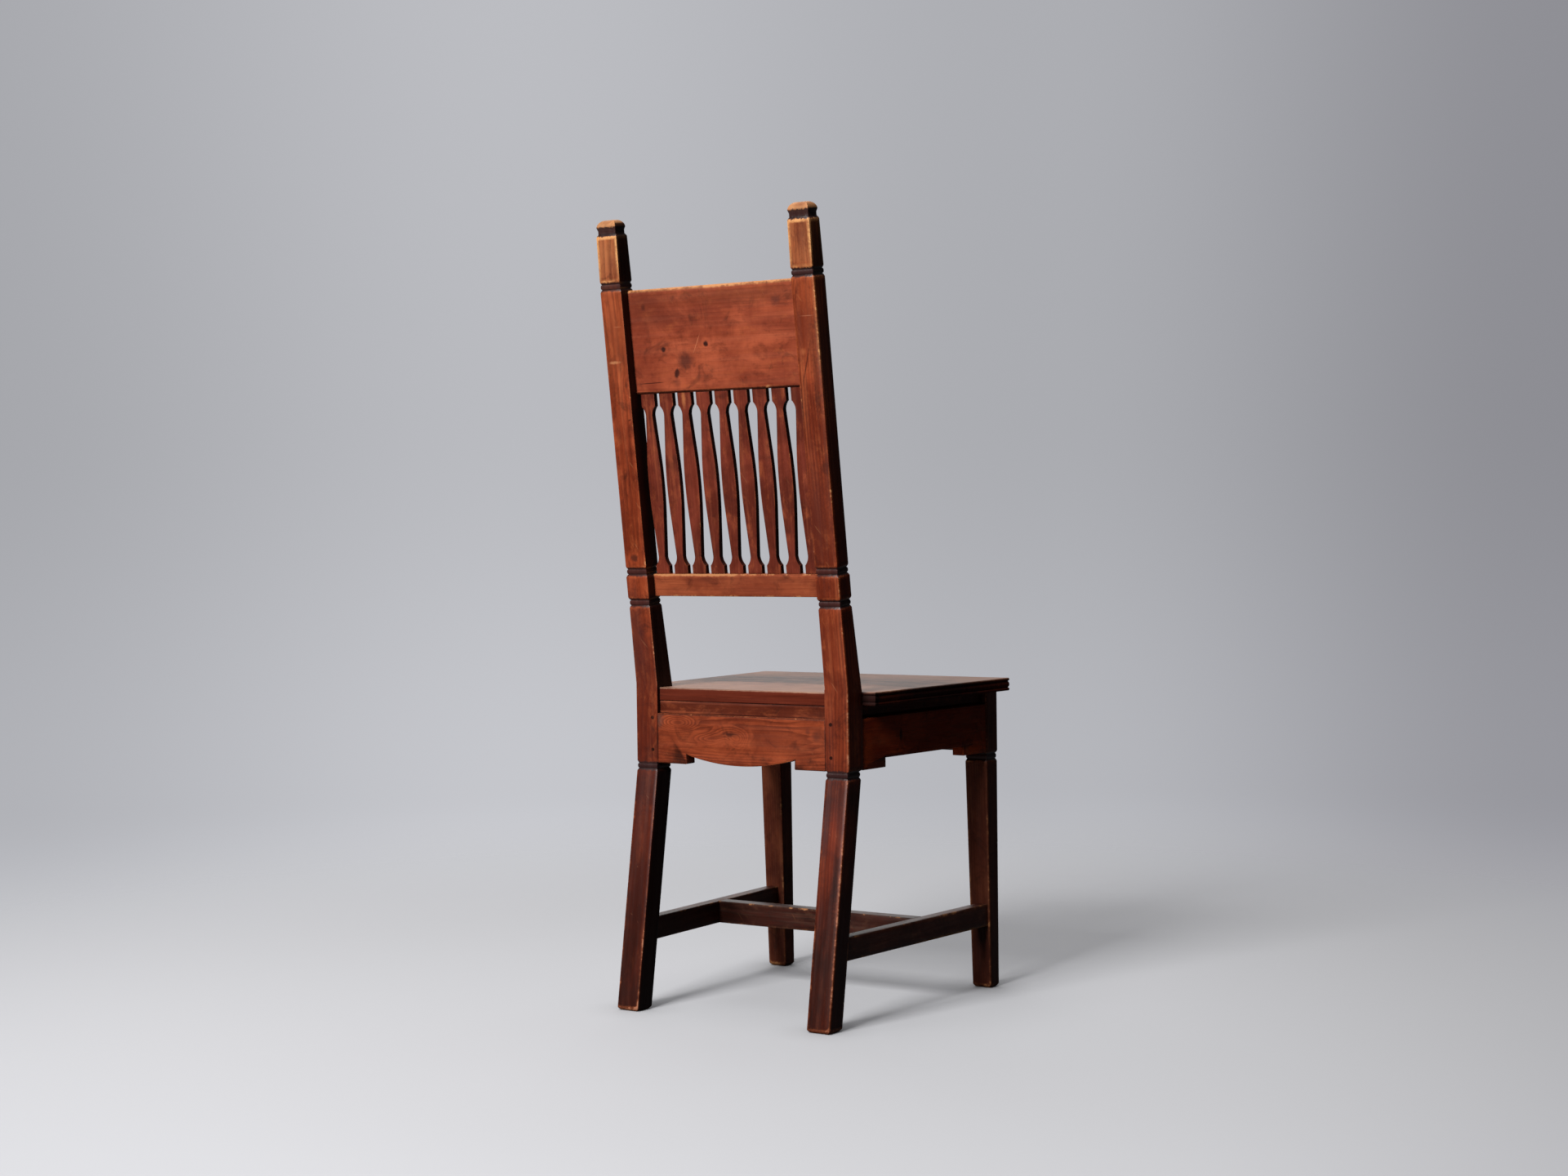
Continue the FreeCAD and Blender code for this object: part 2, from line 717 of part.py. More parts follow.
def assemble():
    post = rear_post_blank()
    leg = front_leg_blank()
    front_rail_rear_y = -leg_front_reach + rail_reveal + rail_thickness
    side_stretcher = side_stretcher_blank(post, leg)
    peg_radius = peg_diameter / 2
    peg_holes = peg_set(peg_radius + peg_clearance, overrun, overrun + peg_length + peg_sink + peg_clearance)

    for mortise in (
        end_tenon(block_inner, 0, rear_rail_tenon_length, fit_clearance),
        side_rail_tenon(fit_clearance),
        stretcher_tenon(fit_clearance),
        panel_tenon(fit_clearance),
        back_rail_tenon(fit_clearance),
        *peg_holes,
    ):
        post = post.cut(mortise)
    for mortise in (
        end_tenon(leg_inner, front_rail_rear_y, front_rail_tenon_length, fit_clearance),
        side_rail_tenon(fit_clearance),
        stretcher_tenon(fit_clearance),
    ):
        leg = leg.cut(mortise)

    rear_rail = end_rail(block_inner, 0)
    rear_tenon = end_tenon(block_inner, 0, rear_rail_tenon_length)
    rear_rail = rear_rail.fuse([rear_tenon, mirrored(rear_tenon)]).removeSplitter()
    for hole in peg_holes:
        rear_rail = rear_rail.cut(hole)
    front_rail = end_rail(leg_inner, front_rail_rear_y)
    front_tenon = end_tenon(leg_inner, front_rail_rear_y, front_rail_tenon_length)
    front_rail = front_rail.fuse([front_tenon, mirrored(front_tenon)]).removeSplitter()
    side_rail = side_seat_rail()
    batten = side_batten()

    pieces = {
        "rear_post_left": post,
        "rear_post_right": mirrored(post),
        "front_leg_left": leg,
        "front_leg_right": mirrored(leg),
        "crest_panel": crest_panel(),
        "lower_back_rail": lower_back_rail(),
        "rear_seat_rail": rear_rail,
        "front_seat_rail": front_rail,
        "side_seat_rail_left": side_rail,
        "side_seat_rail_right": mirrored(side_rail),
        "seat_batten_rear": rear_batten(),
        "seat_batten_front": end_batten(leg_inner - seat_clearance,
                                        -leg_front_reach + rail_reveal + batten_recess, 1, batten_width),
        "seat_batten_left": batten,
        "seat_batten_right": mirrored(batten),
        "side_stretcher_left": side_stretcher.cut(cross_tenon(fit_clearance)),
        "side_stretcher_right": mirrored(side_stretcher.cut(cross_tenon(fit_clearance))),
        "cross_stretcher": cross_stretcher(side_stretcher),
        "rear_rail_pegs": Part.makeCompound(peg_set(peg_radius, -peg_sink, peg_length)),
    }
    pieces.update(seat_boards())
    for number, (place, tenon) in enumerate(zip(slat_places(), slat_tenons()), start=1):
        pieces["slat_%d" % number] = slat(place, tenon)
    return pieces


def centred(pieces):
    # The origin goes on the floor, under the middle of the whole chair
    bounds = Part.makeCompound(list(pieces.values())).optimalBoundingBox(False, False)
    shift = Vector(-(bounds.XMin + bounds.XMax) / 2, -(bounds.YMin + bounds.YMax) / 2, -bounds.ZMin)
    for shape in pieces.values():
        shape.translate(shift)
    print("shift from the back plane to the origin: %.3f %.3f %.3f" % tuple(shift))
    return pieces


def main():
    os.makedirs("parts", exist_ok=True)
    pieces = centred(assemble())
    for name, shape in pieces.items():
        shape.exportStep("parts/%s.step" % name)
        print("%-22s %2d solids %9.0f mm3 %s" % (name, len(shape.Solids), shape.Volume, shape.isValid()))
    bounds = Part.makeCompound(list(pieces.values())).optimalBoundingBox(False, False)
    print("overall %.1f x %.1f x %.1f mm" % (bounds.XLength, bounds.YLength, bounds.ZLength))


main()
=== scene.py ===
import math

import bmesh
import bpy
from mathutils import Matrix, Vector
from mathutils.bvhtree import BVHTree


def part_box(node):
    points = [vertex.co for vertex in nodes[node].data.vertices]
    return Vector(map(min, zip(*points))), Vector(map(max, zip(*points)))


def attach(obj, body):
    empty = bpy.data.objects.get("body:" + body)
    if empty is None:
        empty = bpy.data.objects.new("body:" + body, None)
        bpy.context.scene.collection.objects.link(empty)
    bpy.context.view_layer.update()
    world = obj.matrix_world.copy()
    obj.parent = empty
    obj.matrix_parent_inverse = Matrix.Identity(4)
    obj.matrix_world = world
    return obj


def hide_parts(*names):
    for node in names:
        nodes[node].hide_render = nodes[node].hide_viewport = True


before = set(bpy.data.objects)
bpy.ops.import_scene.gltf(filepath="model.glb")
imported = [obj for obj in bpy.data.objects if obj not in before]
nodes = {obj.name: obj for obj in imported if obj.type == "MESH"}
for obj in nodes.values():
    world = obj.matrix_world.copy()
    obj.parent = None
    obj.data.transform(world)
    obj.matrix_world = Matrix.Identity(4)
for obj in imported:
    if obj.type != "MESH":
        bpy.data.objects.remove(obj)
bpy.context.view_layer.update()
print("loaded", len(nodes), "pieces of the chair")


def paint(red, green, blue):
    # a colour as it looks on a screen, 0 to 255, in the values that a shader takes
    flat = []
    for part in (red, green, blue):
        part = part / 255
        flat.append(part / 12.92 if part <= 0.04045 else ((part + 0.055) / 1.055) ** 2.4)
    return (*flat, 1.0)


class Bench:
    # adds nodes to one material and links them as they are made
    def __init__(self, tree):
        self.tree = tree

    def put(self, kind, inputs=None, **settings):
        node = self.tree.nodes.new("ShaderNode" + kind)
        for setting, value in settings.items():
            setattr(node, setting, value)
        for socket, value in (inputs or {}).items():
            if isinstance(value, bpy.types.NodeSocket):
                self.tree.links.new(value, node.inputs[socket])
            else:
                node.inputs[socket].default_value = value
        return node

    def calc(self, operation, first, second=0.0, third=0.0, clamp=False):
        used = {0: first, 1: second, 2: third}
        return self.put("Math", used, operation=operation, use_clamp=clamp).outputs[0]

    def span(self, value, fromLow, fromHigh, toLow=0.0, toHigh=1.0, smooth=True):
        kind = "SMOOTHSTEP" if smooth else "LINEAR"
        used = {"Value": value, "From Min": fromLow, "From Max": fromHigh,
                "To Min": toLow, "To Max": toHigh}
        return self.put("MapRange", used, interpolation_type=kind).outputs["Result"]

    def blend(self, share, first, second, mode="MIX"):
        used = {0: share, 6: first, 7: second}
        return self.put("Mix", used, data_type="RGBA", blend_type=mode).outputs[2]

    def lay(self, colour, value, start, full, share, shade):
        # a shade over a colour, wherever a noise has gone from start to full
        return self.blend(self.calc("MULTIPLY", self.span(value, start, full), share),
                          colour, shade)

    def toward(self, vector, direction):
        used = {0: vector, 1: direction}
        return self.put("VectorMath", used, operation="DOT_PRODUCT").outputs["Value"]

    def length(self, vector):
        return self.put("VectorMath", {0: vector}, operation="LENGTH").outputs["Value"]

    def stretch(self, vector, scale, turn=(0, 0, 0), move=(0, 0, 0)):
        used = {"Vector": vector, "Scale": scale, "Rotation": turn, "Location": move}
        return self.put("Mapping", used).outputs[0]

    def noise(self, vector, scale=1.0, detail=2.0, rough=0.5, bend=0.0):
        used = {"Vector": vector, "Scale": scale, "Detail": detail, "Roughness": rough,
                "Distortion": bend}
        return self.put("TexNoise", used).outputs[0]


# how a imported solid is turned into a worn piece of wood, in metres
weldGap = 0.00001       # points nearer than this are one
foldGap = 0.0006        # the same, where an inset outline folds over
touching = 0.0004       # nearer than this to another piece, an edge is inside a joint
boxGap = 0.002          # pieces whose boxes are further apart have no joint
soilBand = 0.0022       # how far dirt creeps out of a corner or a joint
curveBand = 0.0015      # the same, on faces with a curved outline
footHeight = 0.0035     # the edges round a foot's sole lie below this
thinFace = 0.0022       # the edge of a narrower face keeps its corner
slimFlat = 0.0030       # a narrower flat gets no strips
sameLine = 0.0003       # strips whose lines are nearer than this are one
sameWay = 0.9999        # if they also run this nearly the same way
oneFace = math.radians(0.7)     # triangles that turn less than this are one face
oneFlat = math.radians(1.0)     # faces that turn less than this are one flat
cornerTurn = math.radians(28)
smoothTurn = math.radians(34)
curve = {"least": 0.03, "most": 0.45, "corners": 8, "area": 0.0002}     # see isCurved


def mergedCopy(node):
    form = bmesh.new()
    form.from_mesh(nodes[node].data)
    bmesh.ops.remove_doubles(form, verts=form.verts, dist=weldGap)
    bmesh.ops.dissolve_limit(form, angle_limit=oneFace, verts=form.verts, edges=form.edges,
                             use_dissolve_boundaries=False, delimit=set())
    form.normal_update()
    return form


def boxesMeet(first, second):
    return all(first[0][i] - boxGap < second[1][i] and second[0][i] - boxGap < first[1][i]
               for i in range(3))


forms = {node: mergedCopy(node) for node in sorted(nodes)}
boxes = {node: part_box(node) for node in forms}
shells = {node: BVHTree.FromBMesh(form) for node, form in forms.items()}
print("merged the solids into clean faces")


def inJoint(point, neighbours):
    return any(shells[other].find_nearest(point, touching)[0] is not None
               for other in neighbours)


def turnOf(edge):
    return edge.calc_face_angle_signed(0.0) if len(edge.link_faces) == 2 else 0.0


def middle(edge):
    return (edge.verts[0].co + edge.verts[1].co) / 2


def breadth(face):
    return 2 * face.calc_area() / sum(edge.calc_length() for edge in face.edges)


def isCurved(face):
    # true for an outline with a curve in it: many corners that each turn a little
    bends = sum(1 for corner in face.loops
                if curve["least"] < abs(math.pi - corner.calc_angle()) < curve["most"])
    return bends > curve["corners"] and face.calc_area() > curve["area"]


def sameFlat(edge):
    return len(edge.link_faces) == 2 and abs(turnOf(edge)) < oneFlat


def isHollow(edge, near):
    # a corner that dirt gathers in, or the line where a piece enters a joint
    bend = turnOf(edge)
    return bend < -cornerTurn or (bend > cornerTurn and inJoint(middle(edge), near))


def roundOver(form, edges, size, keepApart, rounded):
    soft = bmesh.ops.bevel(form, geom=edges, offset=size, offset_type="OFFSET", segments=2,
                           profile=0.5, affect="EDGES", clamp_overlap=keepApart, material=-1)
    for face in soft["faces"]:
        face[rounded] = 1
    form.normal_update()


def roundEdges(form, look, near, rounded):
    # the sole's edges first, then the others that hands and feet reach
    if look.get("foot"):
        sole = [edge for edge in form.edges if turnOf(edge) > cornerTurn
                and max(corner.co.z for corner in edge.verts) < footHeight]
        roundOver(form, sole, look["foot"], True, rounded)
    outer = [edge for edge in form.edges if turnOf(edge) > cornerTurn
             and min(breadth(face) for face in edge.link_faces) > thinFace
             and not any(face[rounded] for face in edge.link_faces)
             and not inJoint(middle(edge), near)]
    roundOver(form, outer, look["edge"], False, rounded)


def insetCurves(form, rounded, flat):
    # a curved outline is set in all round, and true comes back where there is one
    curved = [face for face in form.faces if not face[rounded] and isCurved(face)]
    for face in curved:
        rim = bmesh.ops.inset_region(form, faces=[face], use_boundary=True, use_even_offset=True,
                                     thickness=curveBand, depth=0.0)
        for piece in rim["faces"] + [face]:
            piece[flat] = -1
        # the inner outline folds over in tight corners, so its close points become one
        bmesh.ops.remove_doubles(form, verts=face.verts[:], dist=foldGap)
    return bool(curved)


def stripDepth(face, edge, look, near, rounded, reach):
    # how far wear or dirt comes in from an edge of a face
    if any(other[rounded] for other in edge.link_faces if other is not face):
        return look["band"]
    soiled = edge.calc_length() > look.get("hole", 0.0) and (
        turnOf(edge) < -cornerTurn or inJoint(middle(edge), near))
    return reach if soiled else 0.0


def stripLines(form, look, near, rounded, flat, reach):
    # numbers the flats and gives the line of a strip along each worn or soiled border
    count = 0
    strips = []
    for first in list(form.faces):
        if first[flat] or first[rounded] or breadth(first) < slimFlat:
            continue
        count += 1
        first[flat] = count
        waiting = [first]
        while waiting:
            face = waiting.pop()
            for edge in face.edges:
                if sameFlat(edge):
                    for other in edge.link_faces:
                        if not other[flat] and not other[rounded]:
                            other[flat] = count
                            waiting.append(other)
                    continue
                depth = stripDepth(face, edge, look, near, rounded, reach)
                if not depth:
                    continue
                start, end = edge.verts[0].co, edge.verts[1].co
                inward = face.normal.cross(end - start).normalized()
                if inward.dot(face.calc_center_median() - start) < 0:
                    inward.negate()
                onLine = start + inward * depth
                if not any(number == count and inward.dot(other) > sameWay
                           and abs(inward.dot(onLine - place)) < sameLine
                           for number, place, other in strips):
                    strips.append((count, onLine, inward))
    return strips


def cutStrips(form, strips, flat):
    for number, onLine, inward in strips:
        part = [face for face in form.faces if face[flat] == number]
        lines = {edge for face in part for edge in face.edges}
        points = {corner for face in part for corner in face.verts}
        bmesh.ops.bisect_plane(form, geom=[*points, *lines, *part], dist=weldGap,
                               plane_no=inward, plane_co=onLine)
    form.normal_update()


def spreadGrime(form, look, near, grime, reach):
    # grime is full in the hollow corners and gone at the strips' inner lines
    hollows = []
    for edge in form.edges:
        edge.smooth = abs(turnOf(edge)) < smoothTurn
        if edge.calc_length() > look.get("hole", 2 * weldGap) and isHollow(edge, near):
            hollows.append((edge.verts[0].co.copy(), edge.verts[1].co.copy()))
    for corner in form.verts:
        nearest = reach
        for start, end in hollows:
            if not min(start.z, end.z) - nearest < corner.co.z < max(start.z, end.z) + nearest:
                continue
            line = end - start
            share = max(0.0, min(1.0, line.dot(corner.co - start) / line.length_squared))
            nearest = min(nearest, (start + line * share - corner.co).length)
        corner[grime] = 1.0 - nearest / reach


def soften(node, look):
    # rounds the edges that hands and feet reach, then cuts a narrow strip along each border
    # of each flat face, so that wear and grime can fade out from there
    form = forms[node]
    near = [other for other in forms if other != node and boxesMeet(boxes[node], boxes[other])]
    rounded = form.faces.layers.int.new("rounded")
    flat = form.faces.layers.int.new("flat")
    wear = form.verts.layers.float.new("wear")
    grime = form.verts.layers.float.new("grime")
    roundEdges(form, look, near, rounded)
    curved = False if look.get("hole") else insetCurves(form, rounded, flat)
    reach = curveBand if curved else soilBand
    cutStrips(form, stripLines(form, look, near, rounded, flat, reach), flat)
    spreadGrime(form, look, near, grime, reach)
    for face in form.faces:
        face.smooth = True
        if face[rounded]:
            for corner in face.verts:
                corner[wear] = 1.0

    mesh = bpy.data.meshes.new("worn_" + node)
    form.to_mesh(mesh)
    form.free()
    piece = bpy.data.objects.new("worn_" + node, mesh)
    bpy.context.scene.collection.objects.link(piece)
    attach(piece, "root")
    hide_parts(node)
    mesh.materials.append(look["finish"])
    return piece


grainTurn = {"x": (0, 0, 0), "y": (0, 0, -math.pi / 2), "z": (0, math.pi / 2, 0)}
depthless = 1000.0      # the half size of a mark in a direction that has no end
shortChange = 0.05      # a change of shade over less height than this runs straight across
insideBack = (0.146, 0.144)     # from out to in, where a side face lies inside the back

# waves per metre along the grain and across it, then detail, roughness and bend
grainNoises = {
    "patchy": ((7, 30, 30), 2.0, 0.5, 0.0), "fibre": ((16, 620, 620), 3.0, 0.6, 0.0),
    "streak": ((5, 110, 110), 3.0, 0.62, 0.0), "mottle": ((30, 62, 62), 7.0, 0.72, 0.3),
    "brush": ((260, 30, 30), 3.0, 0.6, 0.0), "patches": ((9, 34, 34), 4.0, 0.62, 0.4),
    "waves": ((12, 38, 38), 2.0, 0.5, 0.0),
}
# waves per metre, then the same
evenNoises = {
    "blotch": (11.0, 4.0, 0.6, 0.5), "smudge": (24.0, 5.0, 0.66, 1.0),
    "ragged": (260.0, 2.0, 0.6, 0.0), "chips": (46.0, 4.0, 0.62, 0.0),
}
ringWander = ((5, 26, 26), 3.0, 0.55, 0.0)
scratches = {"turn": (0.5, 0.9, 0.35), "noise": ((22, 420, 420), 1.0, 0.5, 0.4)}


def grainNoise(bench, along, sizes):
    waves, detail, rough, bend = sizes
    return bench.noise(bench.stretch(along, waves), 1.0, detail, rough, bend)


def spotOn(bench, place, mark):
    # how far a point is from the middle of a mark, in the mark's own half sizes
    used = {"Vector": place, "Location": mark["at"], "Rotation": mark.get("turn", (0, 0, 0)),
            "Scale": mark["size"]}
    return bench.length(bench.put("Mapping", used, vector_type="TEXTURE").outputs[0])


def varied(bench, noise, amount, value):
    # a value with an even noise added to it, both ways
    return bench.calc("MULTIPLY_ADD", bench.calc("SUBTRACT", noise, 0.5), amount, value)


def alongGrain(bench, look, place, apart):
    # a point's place in the stick: along the grain, and across it from the pith
    straight = place
    if look.get("bends"):
        # the stick follows the bends of the post, so its fibres are straightened first
        back = apart[1]
        for low, high, shift in look["bends"]:
            back = bench.calc("SUBTRACT", back, bench.span(apart[2], low, high, 0.0, shift, False))
        straight = bench.put("CombineXYZ", {0: apart[0], 1: back, 2: apart[2]}).outputs[0]
    return bench.stretch(straight, (1, 1, 1), grainTurn[look["grain"]], look["pith"])


def growthRings(bench, look, place, along):
    # rings by the distance from the pith, with a slow wander, and swollen round the knots
    cone = bench.stretch(along, (look["cone"], 1, 1))
    wander = grainNoise(bench, along, ringWander)
    radius = bench.calc("MULTIPLY_ADD", wander, look["wander"], bench.length(cone))
    marks = []
    for mark in look.get("marks", []):
        away = spotOn(bench, place, mark)
        if mark.get("lift"):
            swell = bench.span(away, 0.0, mark.get("reach", 4.0), mark["lift"], 0.0)
            radius = bench.calc("ADD", radius, swell)
        marks.append((away, mark))
    turns = bench.calc("FRACT", bench.calc("DIVIDE", radius, look["pitch"]))
    rings = bench.calc("MULTIPLY", bench.span(turns, 0.15, 0.85), bench.span(turns, 1.0, 0.88))
    return rings, marks


def stained(bench, look, noises, rings, height):
    # the stain on the whole stick: shades by height, mottling, streaks, rings, fibre and smoke
    colour = bench.blend(bench.span(noises["blotch"], 0.38, 0.64), look["deep"], look["bright"])
    uneven = varied(bench, noises["blotch"], 0.16, height)
    for low, high, share, shade in look.get("paler", ()):
        # another shade above a height
        mix = bench.span(height if high - low < shortChange else uneven, low, high, 0.0, share)
        colour = bench.blend(mix, colour, shade)
    mottle, streak = noises["mottle"], noises["streak"]
    colour = bench.lay(colour, mottle, 0.50, 0.30, look["mottleShow"], look["dark"])
    colour = bench.lay(colour, mottle, 0.50, 0.72, look["mottleShow"], look["light"])
    colour = bench.lay(colour, noises["brush"], 0.48, 0.66, look["brushShow"], look["dark"])
    colour = bench.lay(colour, streak, 0.50, 0.30, look["streakShow"], look["deep"])
    colour = bench.lay(colour, streak, 0.52, 0.74, look["streakShow"], look["light"])
    tone = bench.calc("MULTIPLY", rings, bench.span(noises["patchy"], 0.35, 0.65, 0.25, 1.0))
    colour = bench.blend(bench.calc("MULTIPLY", tone, look["ringShow"]), colour, look["dark"])
    colour = bench.lay(colour, noises["fibre"], 0.42, 0.72, look["fibreShow"], look["dark"])
    dirt = bench.calc("MULTIPLY", bench.span(noises["smudge"], 0.54, 0.72), look["smudgeShow"])
    colour = bench.blend(dirt, colour, look["smoke"])
    patches = bench.span(noises["patches"], 0.36, 0.60, 0.62, 1.12)
    for high, low, share, shade in look.get("darker", ()):
        # another shade below a height
        mix = bench.span(uneven, high, low, 0.0, share)
        colour = bench.blend(bench.calc("MULTIPLY", mix, patches, clamp=True), colour, shade)
    return colour, dirt


def marked(bench, colour, marks, ragged):
    # single marks, each over the ones before: knots, cracks, stains, and the old glaze with
    # painted shade over the mouldings
    reached = 1.0       # less where hands don't reach
    polish = 0.0
    for away, mark in marks:
        if "colour" in mark:
            edgeOf = varied(bench, ragged, mark.get("ragged", 0.8), away)
            cover = bench.span(edgeOf, mark.get("inner", 0.6), mark.get("outer", 1.4),
                               mark["cover"], 0.0)
            colour = bench.blend(cover, colour, mark["colour"], mark.get("mode", "MIX"))
            if mark.get("sunk"):
                kept = bench.calc("MULTIPLY_ADD", cover, -1.1, 1.0, clamp=True)
                reached = bench.calc("MINIMUM", reached, kept)
            if mark.get("polish"):
                polish = bench.calc("MULTIPLY_ADD", cover, mark["polish"], polish)
    return colour, reached, polish


def rubbedBare(bench, look, colour, place, noises, wear, reached, raw):
    # a lighter stain along the rubbed edges, faded wood in places, and bare wood in chips
    chips, ragged = noises["chips"], noises["ragged"]
    rubbed = varied(bench, ragged, 0.9, varied(bench, chips, 2.4, wear))
    rubbed = bench.calc("SUBTRACT", rubbed, look["kept"])
    halo = 0.0
    for rub in look.get("rubs", ()):
        gain = bench.span(spotOn(bench, place, rub), 0.5, 1.5, rub["gain"], 0.0)
        rubbed = bench.calc("MULTIPLY_ADD", gain, rub.get("chipped", 0.7), rubbed)
        halo = bench.calc("MULTIPLY_ADD", gain, rub.get("halo", 0.5), halo)
    wide = bench.calc("MULTIPLY", bench.span(rubbed, 0.2, 1.1), look["wideWear"])
    onEdge = bench.calc("MULTIPLY", bench.span(wear, 0.02, 0.5), reached)
    colour = bench.blend(bench.calc("MULTIPLY", wide, onEdge), colour, look["light"])
    flecked = bench.calc("MULTIPLY", bench.span(chips, 0.25, 0.6, 0.5, 1.3),
                         bench.span(ragged, 0.35, 0.6, 0.55, 1.15))
    faded = bench.calc("MULTIPLY", halo, bench.calc("POWER", wear, 1.3))
    faded = bench.calc("MULTIPLY", faded, flecked, clamp=True)
    colour = bench.blend(bench.calc("MULTIPLY", faded, reached), colour, raw)
    bare = bench.calc("MULTIPLY", bench.span(rubbed, 0.84, 1.12), look["bareShow"])
    nearEdge = bench.calc("MULTIPLY", bench.span(wear, 0.15, 0.45), reached)
    bare = bench.calc("MULTIPLY", bare, nearEdge)
    return bench.blend(bare, colour, raw), bare


def stainedPine(name, look):
    finish = bpy.data.materials.new(name)
    finish.use_nodes = True
    tree = finish.node_tree
    bench = Bench(tree)
    shader = tree.nodes["Principled BSDF"]
    source = bench.put("TexCoord").outputs
    place = source["Object"]
    apart = bench.put("SeparateXYZ", {"Vector": place}).outputs
    along = alongGrain(bench, look, place, apart)
    rings, marks = growthRings(bench, look, place, along)
    noises = {key: grainNoise(bench, along, sizes) for key, sizes in grainNoises.items()}
    noises.update({key: bench.noise(place, *sizes) for key, sizes in evenNoises.items()})
    colour, dirt = stained(bench, look, noises, rings, apart[2])
    colour, reached, polish = marked(bench, colour, marks, noises["ragged"])

    # borders: grime in the corners, bare wood where hands and feet have rubbed
    wear = bench.put("Attribute", attribute_name="wear").outputs["Fac"]
    grime = bench.put("Attribute", attribute_name="grime").outputs["Fac"]
    chips = noises["chips"]
    soil = varied(bench, chips, 1.2, grime)
    colour = bench.lay(colour, soil, 0.2, 1.0, look["grimeShow"], look["smoke"])
    raw = bench.blend(bench.span(apart[2], 0.3, 0.9), look.get("bareLow", look["bare"]),
                      look["bare"])
    colour, bare = rubbedBare(bench, look, colour, place, noises, wear, reached, raw)

    # short scratches that cross the grain at a slant
    slant = bench.stretch(place, (1, 1, 1), scratches["turn"])
    scuff = grainNoise(bench, slant, scratches["noise"])
    scuff = bench.calc("MULTIPLY", bench.span(scuff, 0.735, 0.80), look["scuffShow"])
    colour = bench.blend(bench.calc("MULTIPLY", scuff, reached), colour, raw)
    if look.get("sideSoil"):
        # painted shade: inside the back, the faces that look sideways, on the slats and the posts,
        # are darkened as if they were out of the light
        turned = bench.put("SeparateXYZ", {"Vector": source["Normal"]}).outputs
        sideShadeMask = bench.span(bench.calc("ABSOLUTE", turned[0]), 0.5, 0.8)
        inside = bench.span(bench.calc("ABSOLUTE", apart[0]), *insideBack)
        sideShadeMask = bench.calc("MULTIPLY", sideShadeMask, inside)
        colour = bench.blend(bench.calc("MULTIPLY", sideShadeMask, look["sideSoil"]), colour,
                             look["smoke"])
    tree.links.new(colour, shader.inputs["Base Color"])

    # bare, dirty and sunken places are duller, and streaks vary the shine
    streak = noises["streak"]
    gloss = bench.span(streak, 0.3, 0.7, look["sheen"] - 0.05, look["sheen"] + 0.07)
    gloss = bench.calc("MULTIPLY_ADD", bare, 0.22, gloss)
    gloss = bench.calc("MULTIPLY_ADD", dirt, 0.12, gloss)
    gloss = bench.calc("MULTIPLY_ADD", bench.calc("SUBTRACT", 1.0, reached), 0.25, gloss)
    gloss = bench.calc("MULTIPLY_ADD", polish, -0.36, gloss, clamp=True)
    tree.links.new(gloss, shader.inputs["Roughness"])
    shine = bench.calc("MULTIPLY_ADD", reached, look["shine"] * 0.8, look["shine"] * 0.2)
    shine = bench.calc("MULTIPLY", shine, bench.span(streak, 0.35, 0.65, 0.65, 1.15))
    shine = bench.calc("MULTIPLY_ADD", polish, 0.5, shine)
    tree.links.new(shine, shader.inputs["Specular IOR Level"])

    # planing waves, raised fibre, sunken rings and chips in the surface
    height = bench.calc("MULTIPLY", noises["waves"], look["planing"])
    height = bench.calc("MULTIPLY_ADD", rings, -0.10, height)
    height = bench.calc("MULTIPLY_ADD", noises["fibre"], 0.12, height)
    height = bench.calc("MULTIPLY_ADD", bare, -0.2, height)
    height = bench.calc("MULTIPLY_ADD", bench.calc("MULTIPLY", chips, wear), -0.9, height)
    bump = bench.put("Bump", {"Height": height, "Strength": 0.6, "Distance": look["relief"]})
    tree.links.new(bump.outputs[0], shader.inputs["Normal"])
    return finish


# what all the pieces share; each finish below changes some of it
pine = {
    # the way of the grain, the place of the pith, and the rings' taper, wander and distance
    "grain": "z", "pith": (0.0, 0.031, 0.017), "cone": 0.05, "wander": 0.012, "pitch": 0.0042,
    "deep": paint(112, 45, 25), "bright": paint(152, 70, 42), "light": paint(172, 88, 52),
    "dark": paint(70, 24, 14), "smoke": paint(30, 11, 8), "bare": paint(186, 126, 80),
    # how strongly each figure shows, and how far wear has gone
    "ringShow": 0.30, "fibreShow": 0.34, "streakShow": 0.38, "mottleShow": 0.42,
    "brushShow": 0.0, "smudgeShow": 0.5,
    "grimeShow": 0.85, "wideWear": 0.35, "kept": 0.42, "bareShow": 0.75, "scuffShow": 0.12,
    # roughness and strength of the shine, then height and depth of the bumps
    "sheen": 0.42, "shine": 0.18, "planing": 1.4, "relief": 0.0007,
}


def shadeOf(**changes):
    look = dict(pine)
    look.update(changes)
    return look


sootBrown = paint(38, 16, 11)
glazeAndShade = paint(44, 25, 25)
rake = {"angle": math.radians(7.14), "foot": Vector((0.0, 0.1493, 0.455))}


def spot(across, height, halfWidth, halfHeight, **settings):
    # a mark that is seen from behind the chair, and goes right through the piece
    return dict(at=(across, 0, height), size=(halfWidth, depthless, halfHeight), **settings)


def glazeAndShadeBand(at, half, cover, lean=0.0):
    # a dark band all round a post or leg over a moulding: partly old glaze in its hollows, partly
    # painted shade of them
    return dict(at=at, size=(depthless, depthless, half), turn=(-lean, 0, 0), colour=glazeAndShade,
                cover=cover, inner=0.8, outer=1.15, sunk=True, polish=0.9)


def rakedBand(along, half, cover):
    # the same on the raked part of a post, measured along it from where the rake starts
    at = rake["foot"] + along * Vector((0, math.sin(rake["angle"]), math.cos(rake["angle"])))
    return glazeAndShadeBand(tuple(at), half, cover, rake["angle"])


